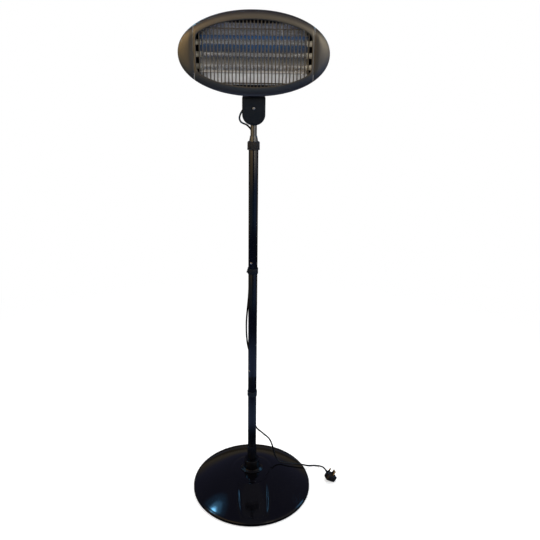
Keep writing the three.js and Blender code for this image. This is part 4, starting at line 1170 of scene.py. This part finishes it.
def tilt_bracket():
    """Bent steel channel on the bowl, with two cheeks down to the pivot."""
    web, pivot = HOUSING_BACK + 0.3, PIVOT_Z - HEAD_Z
    cheek = [(web, -22), (web, -86), (PIVOT_Y - KNUCKLE_RADIUS, pivot + 5),
             *arc(PIVOT_Y, pivot, KNUCKLE_RADIUS, 153, 378, 24), (web + 12, -80),
             *arc(web + 8, -26, 4, 0, 90, 6)]
    half = KNUCKLE_HALF_WIDTH + 3
    parts = [soften(block(-half, half, web, web + 2.5, -75, -22), 0.5, 2)]
    for side in (-1, 1):
        inner, outer = sorted((side * (KNUCKLE_HALF_WIDTH + 1), side * (KNUCKLE_HALF_WIDTH + 3.5)))
        plate = soften(slab(cheek, inner, outer, "X"), 0.4, 2, 60)
        parts.append(carved(plate, pivot_bore(pivot)))
    for x in (-11, 11):
        for z in (-34, -62):
            parts.append(move(turn(pan_head(4, 2.2), -90, "X"), (x, web + 2.5, z)))
    return move(together(*parts), (0, 0, HEAD_Z))


piece("tilt_channel", tilt_bracket(), DARK_STEEL, "head", ("tilt_bracket",))


# ---------- solids that stay, with their finishes ----------

KEPT = {
    "base_plate": DARK_STEEL, "base_ballast": CONCRETE, "rubber_foot_ring": FOOT_RUBBER, "base_bolt": ZINC,
    "pole_insert": ZINC, "spigot_lower": ZINC, "spigot_upper": ZINC, "terminal_block": CERAMIC,
    "tip_over_switch": SATIN_PLASTIC, "selector_switch": CERAMIC, "pivot_bolt": ZINC,
    "tube_bracket_left": DARK_STEEL, "tube_bracket_right": DARK_STEEL,
}
for node_name, finish in KEPT.items():
    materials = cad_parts[node_name].data.materials
    materials.clear()
    materials.append(finish.material)


# ---------- studio ----------

FLOOR_RADIUS = 2.8
FLOOR_LIFT = 0.34                # light of its own, for the camera only
FLOOR_FADE = (1.3, 2.7)          # the floor passes into the white backdrop between these distances

# What glossy surfaces see: a dark floor, blue round the base, under a dim room. The room is warm at
# the left and above in front of the heater, cool at the right, and has a few small bright windows.
FLOOR_UNDER, FLOOR_IN_GLOSS = (0.006, 0.008, 0.014), (0.19, 0.27, 0.52)
FLOOR_FAR_IN_GLOSS, FLOOR_BEHIND_IN_GLOSS = (0.020, 0.026, 0.070), (0.045, 0.036, 0.024)
FLOOR_BRIGHTENS, FLOOR_DIMS, FLOOR_BEHIND = (0.32, 0.5), (0.6, 1.4), (0.1, 0.5)


def studio_floor():
    """A pale floor: lit, it renders white, and it keeps the shadow."""
    bm = bmesh.new()
    bmesh.ops.create_circle(bm, cap_ends=True, segments=96, radius=FLOOR_RADIUS)
    mesh = bpy.data.meshes.new("studio_floor")
    bm.to_mesh(mesh)
    bm.free()
    floor = linked("studio_floor", mesh)
    material = bpy.data.materials.new("studio_floor")
    material.use_nodes = True
    tree = Nodes(material.node_tree)
    spot = tree.node("ShaderNodeTexCoord").outputs["Object"]
    length = tree.node("ShaderNodeVectorMath", {"operation": "LENGTH"}, {0: spot})
    distance = Value(tree, length.outputs["Value"])
    matt = tree.surface("BsdfDiffuse", Color=rgb(0.86, 0.86, 0.86))
    lift = tree.surface("Emission", Strength=FLOOR_LIFT)
    lifted = tree.node("ShaderNodeAddShader", inputs={0: matt, 1: lift}).outputs[0]
    far = tree.either(distance.above(*FLOOR_FADE), lifted, tree.surface("Emission", Strength=1.0))
    mirrored = tree.mixed(distance.above(*FLOOR_BRIGHTENS), FLOOR_UNDER, FLOOR_IN_GLOSS)
    mirrored = tree.mixed(distance.above(*FLOOR_DIMS), mirrored, FLOOR_FAR_IN_GLOSS)
    parts = tree.node("ShaderNodeSeparateXYZ", inputs={0: spot})
    back = Value(tree, parts.outputs["Y"])
    mirrored = tree.mixed(back.above(*FLOOR_BEHIND), mirrored, FLOOR_BEHIND_IN_GLOSS)
    mirrored = tree.surface("Emission", Color=mirrored, Strength=1.0)
    plain = tree.either(tree.ray("Is Glossy Ray", "Is Transmission Ray"), matt, mirrored)
    seen = tree.either(tree.ray("Is Camera Ray"), plain, far)
    tree.node("ShaderNodeOutputMaterial", inputs={"Surface": seen})
    mesh.materials.append(material)


ROOM_BEHIND_LOW, ROOM_ABOVE = (0.15, 0.125, 0.09), (0.085, 0.088, 0.155)
ROOM_OVERHEAD = (0.13, 0.13, 0.17)
ROOM_AHEAD, ROOM_AHEAD_LOW = (0.035, 0.045, 0.06), (0.035, 0.10, 0.22)
ROOM_AHEAD_HIGH = (0.66, 0.60, 0.52)
ROOM_LEFT_LOW, ROOM_LEFT, ROOM_LEFT_HIGH = (0.14, 0.17, 0.19), (0.75, 0.54, 0.26), (2.0, 1.4, 0.75)
ROOM_RIGHT_LOW, ROOM_RIGHT, ROOM_RIGHT_HIGH = (0.11, 0.19, 0.40), (1.05, 1.0, 0.98), (1.3, 1.15, 0.9)
WINDOWS = (                      # direction, half width in degrees, colour
    ((-0.64, 0.06, 0.765), 15, (0.13, 0.29, 0.54)),
    ((-0.62, 0.06, 0.785), 8, (0.45, 1.3, 2.3)),
    ((-0.64, 0.06, 0.765), 4.4, (8.5, 25.0, 42.0)),
    ((0.82, 0.195, 0.54), 8.5, (1.8, 5.6, 10.0)),
    ((0.50, -0.84, 0.23), 7, (4.6, 4.2, 3.4)),
)


def studio_world():
    """White behind the object for the camera, and the dim room for glossy surfaces.

    side, depth and height are parts of a direction of length 1, and each step runs between two of them.
    """
    world = bpy.data.worlds.new("studio")
    world.use_nodes = True
    SCENE.world = world
    tree = Nodes(world.node_tree)
    way = tree.node("ShaderNodeTexCoord").outputs["Generated"]
    parts = tree.node("ShaderNodeSeparateXYZ", inputs={0: way})
    side, depth, height = (Value(tree, parts.outputs[axis]) for axis in "XYZ")

    behind = tree.mixed(height.above(0.06, 0.28), ROOM_BEHIND_LOW, ROOM_ABOVE)
    ahead = tree.mixed(height.above(0.1, 0.4), ROOM_AHEAD, ROOM_AHEAD_HIGH)
    ahead = tree.mixed((0 - height).above(0.04, 0.2), ahead, ROOM_AHEAD_LOW)
    at_left = tree.mixed(height.above(-0.14, 0.05), ROOM_LEFT_LOW, ROOM_LEFT)
    at_left = tree.mixed(height.above(0.05, 0.3), at_left, ROOM_LEFT_HIGH)
    at_right = tree.mixed(height.above(-0.03, 0.1), ROOM_RIGHT_LOW, ROOM_RIGHT)
    at_right = tree.mixed(height.above(0.1, 0.3), at_right, ROOM_RIGHT_HIGH)
    ahead = tree.mixed((0 - side).above(0.14, 0.42), ahead, at_left)
    ahead = tree.mixed(side.above(0.18, 0.45), ahead, at_right)
    ahead = tree.mixed(height.above(0.45, 0.62), ahead, ROOM_ABOVE)
    room = tree.mixed(depth.above(-0.25, 0.1), ahead, behind)
    room = tree.mixed(height.above(0.955, 0.985), room, ROOM_OVERHEAD)
    for direction, half_width, colour in WINDOWS:
        centre = Vector(direction).normalized()
        aim = tree.node("ShaderNodeVectorMath", {"operation": "DOT_PRODUCT"}, {0: way, 1: centre})
        edge = math.cos(math.radians(half_width))
        spread = 0.35 * (1 - edge)
        inside = Value(tree, aim.outputs["Value"]).above(edge - spread, edge + spread)
        room = tree.mixed(inside, room, colour)
    mirrored = tree.surface("Background", Color=room, Strength=1.0)
    white = tree.surface("Background", Color=rgb(1, 1, 1), Strength=1.0)
    soft = tree.surface("Background", Color=rgb(0.96, 0.98, 1), Strength=0.45)
    plain = tree.either(tree.ray("Is Glossy Ray", "Is Transmission Ray"), soft, mirrored)
    seen = tree.either(tree.ray("Is Camera Ray"), plain, white)
    tree.node("ShaderNodeOutputWorld", inputs={"Surface": seen})


studio_floor()
studio_world()
soft_lamp("key_lamp", (-1.9, -2.4, 3.3), (0, 0, 1.2), 1.5, 1.2, 70, (1, 0.95, 0.87))
soft_lamp("fill_lamp", (2.6, -1.6, 2.2), (0, 0, 1.0), 1.2, 1.6, 40, (0.86, 0.93, 1))
soft_lamp("top_lamp", (0.2, 0.6, 3.6), (0, 0, 0.6), 1.6, 1.0, 45)

SCENE.view_settings.view_transform = "Standard"
